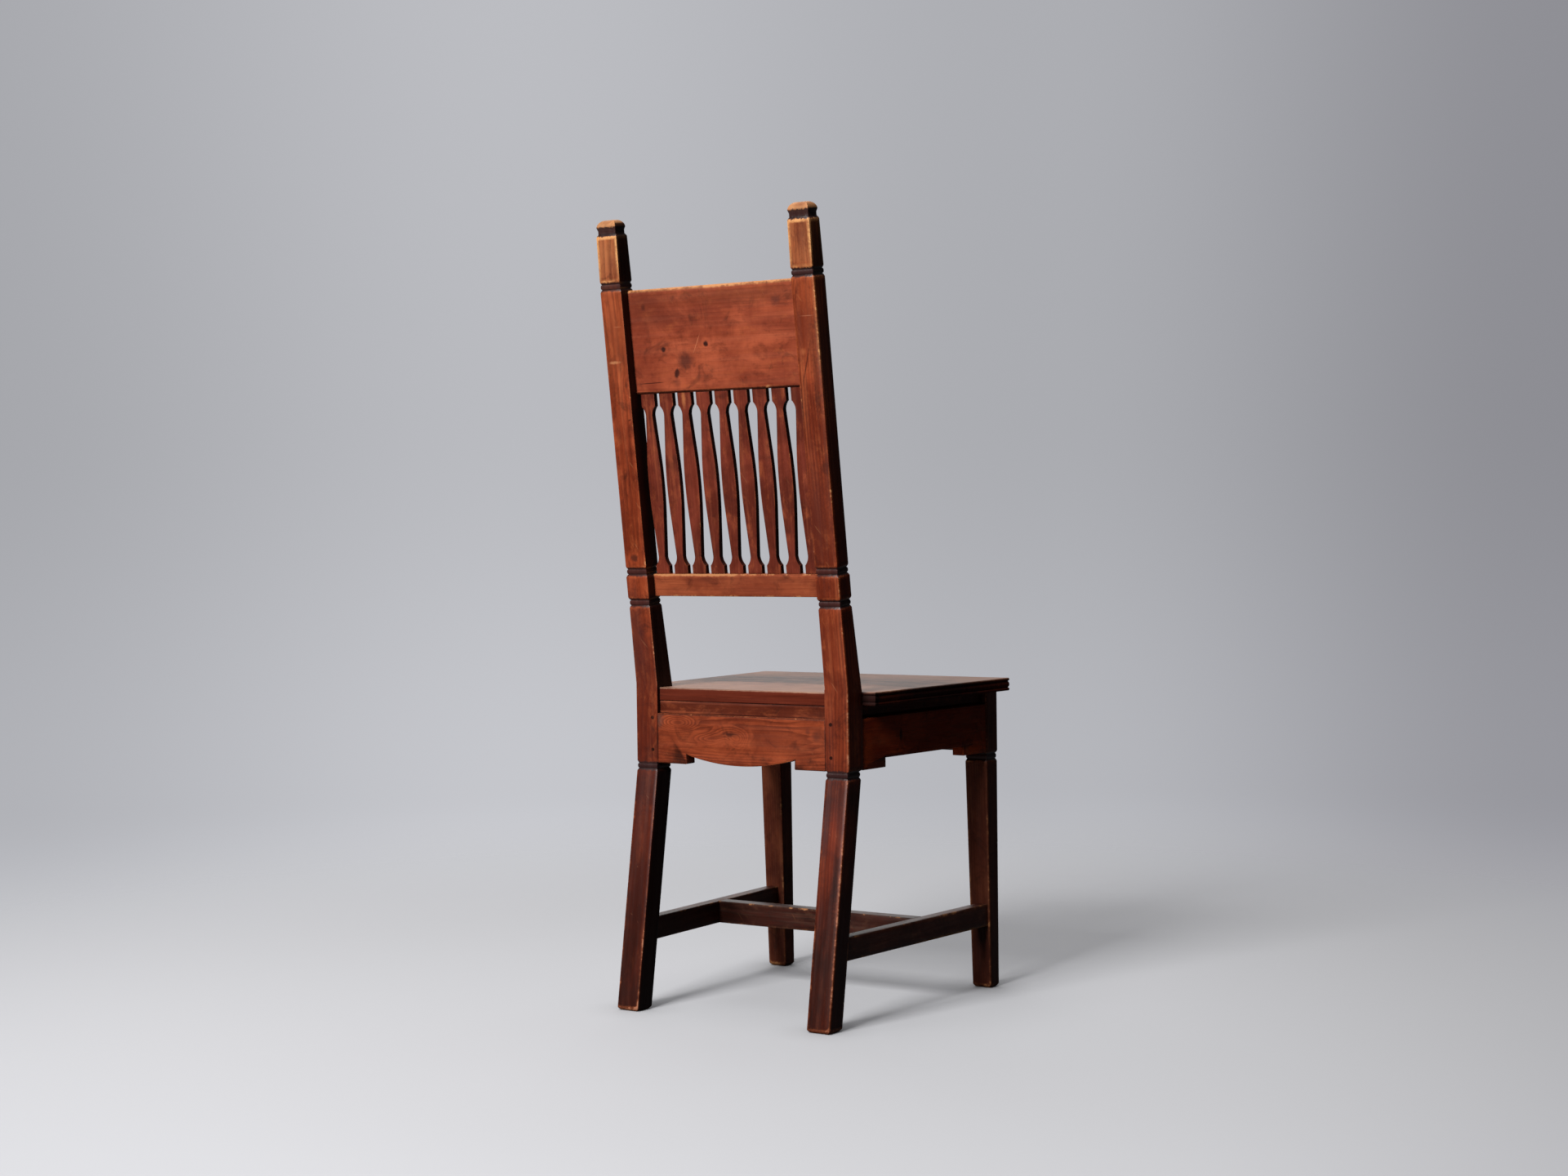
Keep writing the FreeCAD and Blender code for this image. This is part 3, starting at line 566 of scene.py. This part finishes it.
# bends run from a height to a height and shift the grain back; paler shades start and darker
# shades end between two heights, with the share that they take of the colour
postPine = shadeOf(
    bends=((0.0, 0.335, -0.055), (0.44, 1.10, 0.0834)), pith=(-0.35, 0.11, 0.33),
    deep=paint(108, 41, 21), bright=paint(150, 65, 36), light=paint(178, 92, 52),
    bare=paint(206, 146, 92), bareLow=paint(184, 122, 92), scuffShow=0.22,
    # the sides inside the back get painted shade
    ringShow=0.52, mottleShow=0.62, streakShow=0.48, smudgeShow=0.6, sideSoil=0.93,
    paler=((0.86, 1.00, 0.35, paint(160, 82, 46)), (1.012, 1.026, 0.76, paint(158, 94, 58))),
    darker=((0.60, 0.50, 0.34, paint(80, 31, 23)), (0.41, 0.27, 0.64, paint(64, 23, 17)),
            (0.30, 0.06, 0.72, sootBrown)),
    rubs=(
        # finials, feet, then single stretches of the right and the left post's edges
        dict(at=(0.0, 0.21, 1.075), size=(0.3, 0.2, 0.055), gain=0.70, halo=1.7, chipped=0.6),
        dict(at=(0.0, 0.19, 0.0), size=(0.3, 0.2, 0.012), gain=0.22, halo=0.25, chipped=1.0),
        dict(at=(-0.178, 0.15, 0.40), size=(0.012, 0.02, 0.07), gain=0.45, halo=0.2),
        dict(at=(-0.178, 0.17, 0.12), size=(0.014, 0.05, 0.12), gain=0.34, halo=0.15, chipped=1.0),
        dict(at=(0.143, 0.18, 0.06), size=(0.014, 0.05, 0.06), gain=0.20, halo=0.15, chipped=1.0),
        dict(at=(-0.178, 0.20, 0.95), size=(0.012, 0.06, 0.06), gain=0.45),
    ),
    marks=(
        # the right post's bright figure, the pale caps, and the finials' own figures
        spot(-0.1580, 0.950, 0.0050, 0.0450, colour=paint(174, 76, 38), cover=0.55, inner=0.1,
             outer=1.6, ragged=1.2),
        spot(0, 1.098, depthless, 0.010, colour=paint(206, 154, 104), cover=0.45, inner=0.5,
             outer=1.3, ragged=1.2),
        spot(0.162, 1.056, 0.0120, 0.022, colour=paint(200, 128, 80), cover=0.24, inner=0.0,
             outer=1.7, ragged=1.6),
        spot(0.154, 1.040, 0.0050, 0.012, colour=paint(98, 48, 36), cover=0.45, inner=0.0,
             outer=1.7, ragged=1.6),
        spot(-0.162, 1.056, 0.0095, 0.018, colour=paint(98, 50, 36), cover=0.46, inner=0.0,
             outer=1.7, ragged=1.6),
        spot(-0.163, 1.0965, 0.0085, 0.0036, colour=paint(122, 72, 48), cover=0.75, inner=0.1,
             outer=1.6, ragged=1.2),
        # the mouldings, darkened by glaze and painted shade, with smoke under the lowest one, and
        # a knot in each post
        rakedBand(0.5580, 0.0064, cover=0.95), rakedBand(0.1595, 0.0062, cover=0.88),
        rakedBand(0.1155, 0.0062, cover=0.88), rakedBand(0.6338, 0.0068, cover=0.95),
        glazeAndShadeBand((0, 0, 0.339), 0.0062, cover=0.93),
        spot(0, 0.310, depthless, 0.030, colour=paint(50, 25, 22), cover=0.62, inner=0.1,
             outer=1.6, ragged=1.6),
        spot(-0.1382, 0.6537, 0.0045, 0.0035, lift=0.006, reach=5.0, colour=paint(52, 24, 18),
             cover=0.8),
        spot(0.1604, 0.6330, 0.0060, 0.0045, lift=0.006, reach=5.0, colour=paint(66, 32, 24),
             cover=0.75),
        # the right post: a darker figure, an old crack, bruises and greyed outer wood
        spot(-0.1456, 0.966, 0.0040, 0.0160, lift=0.010, reach=4.0),
        spot(-0.1540, 0.940, 0.0200, 0.0520, colour=paint(92, 34, 20), cover=0.80, inner=0.1,
             outer=1.4),
        spot(-0.1770, 0.895, 0.0055, 0.0600, colour=paint(84, 50, 44), cover=0.55, inner=0.2,
             outer=1.5),
        spot(-0.1519, 0.9054, 0.0036, 0.0040, colour=paint(196, 110, 66), cover=0.35, inner=0.0,
             outer=1.8, ragged=1.6),
        spot(-0.1548, 0.8875, 0.0010, 0.0310, colour=paint(62, 22, 12), cover=0.75, inner=0.3,
             outer=1.5, ragged=0.8, turn=(0, -0.297, 0)),
        spot(-0.1685, 0.866, 0.0040, 0.0500, colour=paint(62, 26, 18), cover=0.55, inner=0.1,
             outer=1.7, ragged=1.2),
        spot(-0.1415, 0.835, 0.0030, 0.0200, colour=paint(52, 34, 30), cover=0.70, inner=0.2,
             outer=1.6, ragged=1.4),
        spot(-0.1620, 0.952, 0.0100, 0.0006, colour=paint(176, 112, 82), cover=0.45, inner=0.3,
             outer=1.5),
        spot(-0.1760, 0.74, 0.0045, 0.08, colour=paint(82, 40, 30), cover=0.5, inner=0.2,
             outer=1.5),
        spot(-0.152, 0.69, 0.028, 0.085, colour=paint(84, 33, 23), cover=0.88, inner=0.1,
             outer=1.5),
        spot(-0.1690, 0.195, 0.0050, 0.042, colour=paint(36, 17, 15), cover=0.82, inner=0.1,
             outer=1.6, ragged=1.2),
        spot(-0.1480, 0.268, 0.0075, 0.034, colour=paint(62, 40, 40), cover=0.62, inner=0.1,
             outer=1.6, ragged=1.2),
        spot(-0.1600, 0.255, 0.0065, 0.050, colour=paint(150, 58, 40), cover=0.14, inner=0.1,
             outer=1.6),
        spot(-0.1600, 0.070, 0.0300, 0.070, colour=paint(32, 15, 12), cover=0.45, inner=0.3,
             outer=1.5, ragged=1.4),
        # the left post: its cap, pale rubs across it, a small knot, a gouge and stains
        spot(0.161, 1.0970, 0.0080, 0.0032, colour=paint(136, 84, 54), cover=0.6, inner=0.1,
             outer=1.7, ragged=1.6),
        spot(0.1637, 0.905, 0.0090, 0.0018, colour=paint(206, 146, 100), cover=0.5, inner=0.2,
             outer=1.6, ragged=1.4),
        spot(0.1533, 0.9534, 0.0060, 0.0006, colour=paint(182, 116, 80), cover=0.5, inner=0.3,
             outer=1.5),
        spot(0.1467, 0.873, 0.0022, 0.0035, colour=paint(60, 24, 16), cover=0.75, inner=0.3,
             outer=1.6, lift=0.004, reach=5.0),
        spot(0.1460, 0.825, 0.0040, 0.0010, colour=paint(50, 20, 14), cover=0.8, inner=0.4,
             outer=1.4, turn=(0, 0.3, 0)),
        spot(0.1673, 0.807, 0.0045, 0.0130, colour=paint(80, 36, 26), cover=0.5, inner=0.2,
             outer=1.6),
        spot(0.1690, 0.520, 0.0170, 0.070, colour=paint(74, 33, 28), cover=0.74, inner=0.2,
             outer=1.6),
        spot(0.160, 0.93, 0.030, 0.090, colour=paint(190, 98, 60), cover=0.18, inner=0.2,
             outer=1.4),
        spot(0.1620, 0.225, 0.0300, 0.060, colour=paint(56, 25, 20), cover=0.32, inner=0.2,
             outer=1.5, ragged=1.4),
    ),
)
legPine = shadeOf(
    deep=paint(106, 51, 36), bright=paint(138, 72, 48), light=paint(156, 92, 61),
    pith=(-0.2, 0.24, 0.30), kept=0.35, darker=((0.24, 0.05, 0.5, sootBrown),),
    mottleShow=0.55,
    rubs=(
        dict(at=(0.0, -0.20, 0.0), size=(0.3, 0.1, 0.012), gain=0.18, halo=0.2, chipped=1.0),
        dict(at=(0.0, -0.18, 0.12), size=(0.3, 0.02, 0.12), gain=0.20, halo=0.15, chipped=1.0),
    ),
    marks=(
        # the moulding, darkened by glaze and painted shade, then the right leg, which is the
        # darker one
        glazeAndShadeBand((0, 0, 0.3373), 0.0062, cover=0.93),
        spot(-0.17, 0.18, 0.05, 0.25, colour=paint(52, 24, 18), cover=0.56, inner=0.6,
             outer=1.4),
    ),
)
panelPine = shadeOf(
    grain="x", pith=(0.0, -0.10, -0.924), cone=0.03, wander=0.010, pitch=0.0036,
    deep=paint(126, 54, 35), bright=paint(166, 80, 52), ringShow=0.18, smudgeShow=0.50,
    kept=0.45, streakShow=0.16, fibreShow=0.18, mottleShow=0.50, brushShow=0.08,
    rubs=(dict(at=(0.0, 0.2, 1.008), size=(0.3, 0.05, 0.007), gain=0.8, halo=1.4),),
    marks=(
        # broad darker clouds
        spot(0.120, 0.985, 0.055, 0.026, colour=paint(86, 38, 26), cover=0.55, inner=0.0,
             outer=1.7),
        spot(0.090, 0.960, 0.045, 0.010, colour=paint(92, 40, 28), cover=0.40, inner=0.0,
             outer=1.8),
        spot(0.125, 0.885, 0.040, 0.028, colour=paint(112, 47, 31), cover=0.45, inner=0.0,
             outer=1.7),
        spot(-0.055, 0.988, 0.110, 0.012, colour=paint(104, 52, 34), cover=0.50, inner=0.0,
             outer=1.8, ragged=1.6),
        # three knots, and the bruises round and above them
        spot(0.0885, 0.9202, 0.0036, 0.0033, lift=0.006, reach=5.0, colour=paint(40, 17, 15),
             cover=0.92),
        spot(0.0162, 0.9245, 0.0036, 0.0036, lift=0.008, reach=6.0, colour=paint(34, 15, 13),
             cover=0.94),
        spot(0.0690, 0.8869, 0.0040, 0.0062, lift=0.004, reach=4.0, colour=paint(44, 20, 18),
             cover=0.9, turn=(0, -0.3, 0)),
        spot(0.0530, 0.9030, 0.0120, 0.0110, colour=paint(58, 30, 27), cover=0.75, inner=0.3,
             outer=1.6),
        spot(0.0700, 0.8740, 0.0050, 0.0050, colour=paint(84, 42, 34), cover=0.45, inner=0.3,
             outer=1.8),
        spot(0.117, 0.979, 0.0030, 0.0040, colour=paint(62, 28, 22), cover=0.6, inner=0.3,
             outer=1.8),
        spot(-0.1045, 0.9772, 0.0060, 0.0060, colour=paint(84, 42, 34), cover=0.6, inner=0.3,
             outer=1.8),
        # a crack by the left post and a long scratch
        spot(0.1150, 0.8752, 0.0215, 0.0006, colour=paint(40, 14, 10), cover=0.85, inner=0.7,
             outer=1.3, ragged=0.3, turn=(0, 0.02, 0)),
        spot(0.0320, 0.9250, 0.0150, 0.0006, colour=paint(196, 120, 84), cover=0.5, inner=0.4,
             outer=1.4, ragged=0.6, turn=(0, 1.10, 0)),
    ),
)
backRailPine = shadeOf(grain="x", pith=(0.0, -0.11, -0.60), kept=0.15, ringShow=0.2,
                       deep=paint(128, 58, 36), bright=paint(156, 78, 48), streakShow=0.25,
                       rubs=(dict(at=(0.07, 0.17, 0.611), size=(0.09, 0.05, 0.008), gain=0.8),))
slatPine = shadeOf(
    bends=((0.58, 1.0, 0.049),), pith=(-0.7, -0.13, 0.06), cone=0.03,
    deep=paint(87, 34, 23), bright=paint(118, 50, 35), ringShow=0.2, kept=0.48,
    # the slats' sides get painted shade
    wideWear=0.45, streakShow=0.42, smudgeShow=0.3, mottleShow=0.5, sideSoil=0.8,
    marks=(
        # a pale patch near the top of one slat
        spot(0.064, 0.852, 0.0030, 0.011, colour=paint(176, 106, 64), cover=0.7, inner=0.2,
             outer=1.6),
    ),
)
railPine = shadeOf(
    grain="x", pith=(0.02, -0.115, -0.389), cone=0.12, wander=0.016, pitch=0.0034,
    deep=paint(116, 48, 27), bright=paint(154, 70, 40), ringShow=0.62, streakShow=0.25,
    marks=(
        # one knot, three swells in the rings, then stains and a greyed end
        spot(0.016, 0.3885, 0.0095, 0.0030, lift=0.016, reach=5.0, colour=paint(44, 18, 14),
             cover=0.8, inner=0.2, outer=1.8),
        spot(0.004, 0.3775, 0.0060, 0.0040, lift=0.014, reach=4.0),
        spot(0.106, 0.4010, 0.0130, 0.0045, lift=0.018, reach=3.4),
        spot(0.050, 0.3810, 0.0110, 0.0035, lift=0.012, reach=3.4),
        spot(-0.127, 0.3900, 0.0060, 0.0050, colour=paint(64, 32, 27), cover=0.6, inner=0.2,
             outer=2.0),
        spot(-0.113, 0.3960, 0.0030, 0.0030, colour=paint(70, 34, 28), cover=0.5, inner=0.2,
             outer=2.0),
        spot(-0.055, 0.3850, 0.0320, 0.0220, colour=paint(92, 37, 24), cover=0.55, inner=0.1,
             outer=1.6),
        spot(0.140, 0.4050, 0.0080, 0.0090, colour=paint(84, 60, 52), cover=0.6, inner=0.2,
             outer=1.8),
    ),
)
sideRailPine = shadeOf(
    grain="y", pith=(0.0, -0.27, -0.40), deep=paint(160, 55, 20), bright=paint(198, 78, 30),
    marks=(
        # a knot
        dict(at=(0, 0.0236, 0.3856), size=(depthless, 0.0030, 0.0080), lift=0.008, reach=4.0,
             colour=paint(30, 12, 10), cover=0.8),
    ),
)
seatPine = shadeOf(
    grain="x", pith=(0.0, 0.02, -0.36), cone=0.02, pitch=0.0050,
    deep=paint(136, 90, 66), bright=paint(152, 105, 80), light=paint(186, 144, 114),
    dark=paint(84, 48, 34), streakShow=0.65, ringShow=0.26, smudgeShow=0.12, mottleShow=0.25,
    sheen=0.56, relief=0.0013, kept=0.6, bareShow=0.5, shine=0.72,
    marks=(
        # the reeded edge kept its dark stain, and is black beside the right post
        dict(at=(0, 0, 0.440), size=(depthless, depthless, 0.0085), mode="MULTIPLY",
             colour=(0.37, 0.12, 0.08, 1), cover=1.0, inner=0.93, outer=1.08, ragged=0.15,
             sunk=True),
        dict(at=(-0.200, 0.112, 0.440), size=(0.024, 0.010, 0.0095), colour=paint(24, 10, 8),
             cover=0.9, inner=0.8, outer=1.2, ragged=0.2, sunk=True),
    ),
)
battenPine = shadeOf(grain="x", pith=(0.0, -0.15, -0.47), deep=paint(70, 26, 14),
                     bright=paint(90, 37, 21), kept=0.8)
sideBattenPine = shadeOf(grain="y", pith=(0.0, -0.22, -0.47), deep=paint(76, 30, 17),
                         bright=paint(98, 42, 24), kept=0.8)
stretcherPine = shadeOf(
    grain="y", pith=(0.0, -0.24, -0.14), deep=paint(56, 23, 15), bright=paint(84, 40, 28),
    light=paint(130, 82, 58), kept=0.2, shine=0.3,
    rubs=(dict(at=(-0.17, -0.11, 0.091), size=(0.03, 0.11, 0.006), gain=0.7),),
)
crossPine = shadeOf(grain="x", pith=(0.0, -0.01, -0.14), deep=paint(38, 18, 13),
                    bright=paint(56, 29, 22), light=paint(104, 68, 50), kept=0.2, shine=0.3)
pegPine = shadeOf(grain="y", pith=(0.0, 0.0, -0.38), deep=paint(58, 25, 16),
                  bright=paint(84, 39, 25), kept=0.9)

# the pieces: how far their edges are rounded, how far wear reaches in from them, and their wood;
# edges shorter than hole are those of the peg holes, which stay clean
rearPost = {"edge": 0.0012, "band": 0.0040, "foot": 0.0022, "hole": 0.0013,
            "slot": "post_pine", "finish": stainedPine("postPine", postPine)}
frontLeg = {"edge": 0.0012, "band": 0.0040, "foot": 0.0022,
            "slot": "leg_pine", "finish": stainedPine("legPine", legPine)}
crestPanel = {"edge": 0.0012, "band": 0.0040,
              "slot": "back_pine", "finish": stainedPine("panelPine", panelPine)}
backRail = {"edge": 0.0012, "band": 0.0036,
            "slot": "back_pine", "finish": stainedPine("backRailPine", backRailPine)}
slat = {"edge": 0.0006, "band": 0.0022,
        "slot": "back_pine", "finish": stainedPine("slatPine", slatPine)}
seatRail = {"edge": 0.0010, "band": 0.0036,
            "slot": "rail_pine", "finish": stainedPine("railPine", railPine)}
sideRail = {"edge": 0.0010, "band": 0.0036,
            "slot": "rail_pine", "finish": stainedPine("sideRailPine", sideRailPine)}
seatBoard = {"edge": 0.0008, "band": 0.0040,
             "slot": "seat_pine", "finish": stainedPine("seatPine", seatPine)}
batten = {"edge": 0.0008, "band": 0.0028,
          "slot": "batten_pine", "finish": stainedPine("battenPine", battenPine)}
sideBatten = {"edge": 0.0008, "band": 0.0028,
              "slot": "batten_pine", "finish": stainedPine("sideBattenPine", sideBattenPine)}
sideStretcher = {"edge": 0.0014, "band": 0.0038,
                 "slot": "stretcher_pine", "finish": stainedPine("stretcherPine", stretcherPine)}
crossStretcher = {"edge": 0.0014, "band": 0.0038,
                  "slot": "stretcher_pine", "finish": stainedPine("crossPine", crossPine)}
peg = {"edge": 0.0004, "band": 0.0012,
       "slot": "peg_wood", "finish": stainedPine("pegPine", pegPine)}
print("mixed the finishes of stained pine")

looks = {
    "rear_post_left": rearPost, "rear_post_right": rearPost,
    "front_leg_left": frontLeg, "front_leg_right": frontLeg,
    "crest_panel": crestPanel, "lower_back_rail": backRail,
    "rear_seat_rail": seatRail, "front_seat_rail": seatRail,
    "side_seat_rail_left": sideRail, "side_seat_rail_right": sideRail,
    "seat_board_front": seatBoard, "seat_board_middle": seatBoard, "seat_board_rear": seatBoard,
    "seat_batten_rear": batten, "seat_batten_front": batten,
    "seat_batten_left": sideBatten, "seat_batten_right": sideBatten,
    "side_stretcher_left": sideStretcher, "side_stretcher_right": sideStretcher,
    "cross_stretcher": crossStretcher, "rear_rail_pegs": peg,
}
slatCount = 9
for number in range(1, slatCount + 1):
    looks[f"slat_{number}"] = slat
pieces = {node: soften(node, looks[node]) for node in sorted(looks)}
print("softened", len(pieces), "pieces")

# the photograph's view, and what is level across it and along it
view = {
    "place": (-2.0370, 3.026811, 0.6887), "lens": 58.876, "sensor": 36.0,
    "across": Vector((-0.82669, -0.56249, -0.01381)),
    "up": Vector((0.00434, -0.03092, 0.99951)),
    "ahead": Vector((0.56264, -0.82623, -0.02800)),
}
levelAcross = view["across"].xy.to_3d().normalized()
levelAhead = view["ahead"].xy.to_3d().normalized()

cameraData = bpy.data.cameras.new("photoView")
cameraData.lens = view["lens"]
cameraData.sensor_fit = "HORIZONTAL"
cameraData.sensor_width = view["sensor"]
cameraData.clip_end = 100.0
camera = bpy.data.objects.new("photoView", cameraData)
turn = Matrix((view["across"], view["up"], -view["ahead"])).transposed()
camera.matrix_world = Matrix.Translation(view["place"]) @ turn.to_4x4()
bpy.context.scene.collection.objects.link(camera)
bpy.context.scene.camera = camera
bpy.context.scene.view_settings.view_transform = "Standard"

paleFloor = {
    "sides": 96, "radius": 2.6, "fade": (0.75, 2.5),    # where it turns clear
    "roughness": 0.9, "shine": 0.1, "colour": paint(209, 209, 212),
    # a painted glow in the floor lifts its shadows
    "glow": paint(204, 204, 208), "glowShare": 0.26,
    # painted shade: the floor darkens towards the right and towards the camera, as light falls off
    "rightPaintedShade": (0.3, 1.1, 1.0, 0.84),     # from, to, and the tones there
    "nearPaintedShade": (-0.4, 0.9, 1.0, 0.93),
    "contactShadeReach": 0.06, "contactShadeDepth": 1.8,  # the glow fades under the feet
    "bounced": paint(60, 60, 62), "mirrored": 0.07,
}
floorForm = bmesh.new()
bmesh.ops.create_circle(floorForm, cap_ends=True, segments=paleFloor["sides"],
                        radius=paleFloor["radius"])
floorMesh = bpy.data.meshes.new("studioFloor")
floorForm.to_mesh(floorMesh)
floorForm.free()
floor = bpy.data.objects.new("studioFloor", floorMesh)
bpy.context.scene.collection.objects.link(floor)

floorFinish = bpy.data.materials.new("paleFloor")
floorFinish.use_nodes = True
floorTree = floorFinish.node_tree
bench = Bench(floorTree)
floorShader = floorTree.nodes["Principled BSDF"]
floorShader.inputs["Roughness"].default_value = paleFloor["roughness"]
floorShader.inputs["Specular IOR Level"].default_value = paleFloor["shine"]
floorPlace = bench.put("TexCoord").outputs["Object"]
# the floor's painted shade, from the two ramps above
tone = bench.calc("MULTIPLY",
                  bench.span(bench.toward(floorPlace, levelAcross), *paleFloor["rightPaintedShade"]),
                  bench.span(bench.toward(floorPlace, -levelAhead), *paleFloor["nearPaintedShade"]))
floorColour = bench.put("HueSaturation", {"Color": paleFloor["colour"], "Value": tone})
floorTree.links.new(floorColour.outputs[0], floorShader.inputs["Base Color"])
# the glow is painted light that lifts the floor's shadows; next to the feet it fades, a painted
# contact shadow
contactShade = bench.put("AmbientOcclusion", {"Distance": paleFloor["contactShadeReach"]}, samples=8)
contactShade = bench.calc("POWER", contactShade.outputs["AO"], paleFloor["contactShadeDepth"])
glow = bench.put("Emission", {"Color": paleFloor["glow"], "Strength": contactShade})
lit = bench.put("MixShader", {0: paleFloor["glowShare"], 1: floorShader.outputs[0],
                              2: glow.outputs[0]})
# the camera sees the lit floor, and the chair gets little of its light
bounced = bench.put("BsdfDiffuse", {"Color": paleFloor["bounced"]})
rays = bench.put("LightPath").outputs
mirrored = bench.calc("MAXIMUM", rays["Is Glossy Ray"], rays["Is Transmission Ray"])
mirrored = bench.calc("MULTIPLY", mirrored, paleFloor["mirrored"])
seen = bench.calc("MAXIMUM", rays["Is Camera Ray"], mirrored)
top = bench.put("MixShader", {0: seen, 1: bounced.outputs[0], 2: lit.outputs[0]})
ending = bench.span(bench.length(floorPlace), *paleFloor["fade"])
clear = bench.put("BsdfTransparent")
top = bench.put("MixShader", {0: ending, 1: top.outputs[0], 2: clear.outputs[0]})
floorTree.links.new(top.outputs[0], floorTree.nodes["Material Output"].inputs["Surface"])
floorMesh.materials.append(floorFinish)

sweep = {       # the backdrop, from left to right and from low to high, and the room's light
    "across": [(0.0, paint(120, 120, 126)), (0.34, paint(166, 167, 172)),
               (0.45, paint(186, 187, 192)), (0.55, paint(171, 172, 177)),
               (0.645, paint(142, 142, 148)), (0.80, paint(70, 70, 74)),
               (1.0, paint(44, 44, 48))],
    "upward": [(0.0, (1.80, 1.80, 1.78, 1)), (0.20, (1.68, 1.68, 1.67, 1)),
               (0.30, (1.46, 1.46, 1.45, 1)), (0.37, (1.14, 1.14, 1.14, 1)),
               (0.55, (0.99, 0.99, 0.99, 1)), (0.75, (1.02, 1.02, 1.02, 1)),
               (1.0, (1.0, 1.0, 1.0, 1))],
    "upTo": 0.4, "ambient": (0.009, 0.009, 0.009 * 1.04, 1),
    "room": (-0.5, 0.6, 0.12, 0.8), "roomColour": (1.0, 0.935, 0.865, 1),
}


def ramped(bench, value, low, high, stops):
    node = bench.put("ValToRGB", {"Fac": bench.span(value, low, high, smooth=False)})
    ramp = node.color_ramp
    ramp.interpolation = "EASE"
    while len(ramp.elements) > 1:
        ramp.elements.remove(ramp.elements[-1])
    ramp.elements[0].position = stops[0][0]
    ramp.elements[0].color = stops[0][1]
    for place, colour in stops[1:]:
        ramp.elements.new(place).color = colour
    return node.outputs[0]


world = bpy.data.worlds.new("paleStudio")
world.use_nodes = True
bpy.context.scene.world = world
bench = Bench(world.node_tree)
looking = bench.put("TexCoord").outputs["Generated"]
height = bench.put("SeparateXYZ", {"Vector": looking}).outputs[2]
across = ramped(bench, bench.toward(looking, levelAcross), -1.0, 1.0, sweep["across"])
upward = ramped(bench, height, -sweep["upTo"], sweep["upTo"], sweep["upward"])
backdrop = bench.blend(1.0, across, upward, "MULTIPLY")
# what shines in the varnish: the pale sweep behind the chair, and a dark room behind the camera
room = bench.span(bench.toward(looking, levelAhead), *sweep["room"])
roomColour = bench.put("CombineColor", {0: room, 1: room, 2: room}).outputs[0]
roomColour = bench.blend(1.0, roomColour, sweep["roomColour"], "MULTIPLY")
reflected = bench.blend(1.0, backdrop, roomColour, "MULTIPLY")
rays = bench.put("LightPath").outputs
mirrored = bench.calc("MAXIMUM", rays["Is Glossy Ray"], rays["Is Transmission Ray"])
airColour = bench.blend(mirrored, sweep["ambient"], reflected)
airColour = bench.blend(rays["Is Camera Ray"], airColour, backdrop)
world.node_tree.links.new(airColour, world.node_tree.nodes["Background"].inputs["Color"])

lamps = {
    "keyLight": {"place": (0.10, 3.85, 3.25), "size": 1.5, "power": 268.0, "shines": True},
    "lowLight": {"place": (0.5, 3.3, 0.45), "size": 1.2, "power": 18.0, "shines": False},
    "topLight": {"place": (0.3, 0.1, 3.3), "size": 1.6, "power": 28.0, "shines": True},
    "fillLight": {"place": (2.2, -2.4, 2.0), "size": 2.4, "power": 22.0, "shines": True},
}
lampTarget = Vector((0, 0, 0.45))
for name, lamp in lamps.items():
    data = bpy.data.lights.new(name, "AREA")
    data.shape = "SQUARE"
    data.size = lamp["size"]
    data.energy = lamp["power"]
    light = bpy.data.objects.new(name, data)
    light.location = lamp["place"]
    light.rotation_mode = "QUATERNION"
    light.rotation_quaternion = (lampTarget - Vector(lamp["place"])).to_track_quat("-Z", "Y")
    light.visible_glossy = lamp["shines"]
    bpy.context.scene.collection.objects.link(light)
print("set the floor, background, lights and camera")
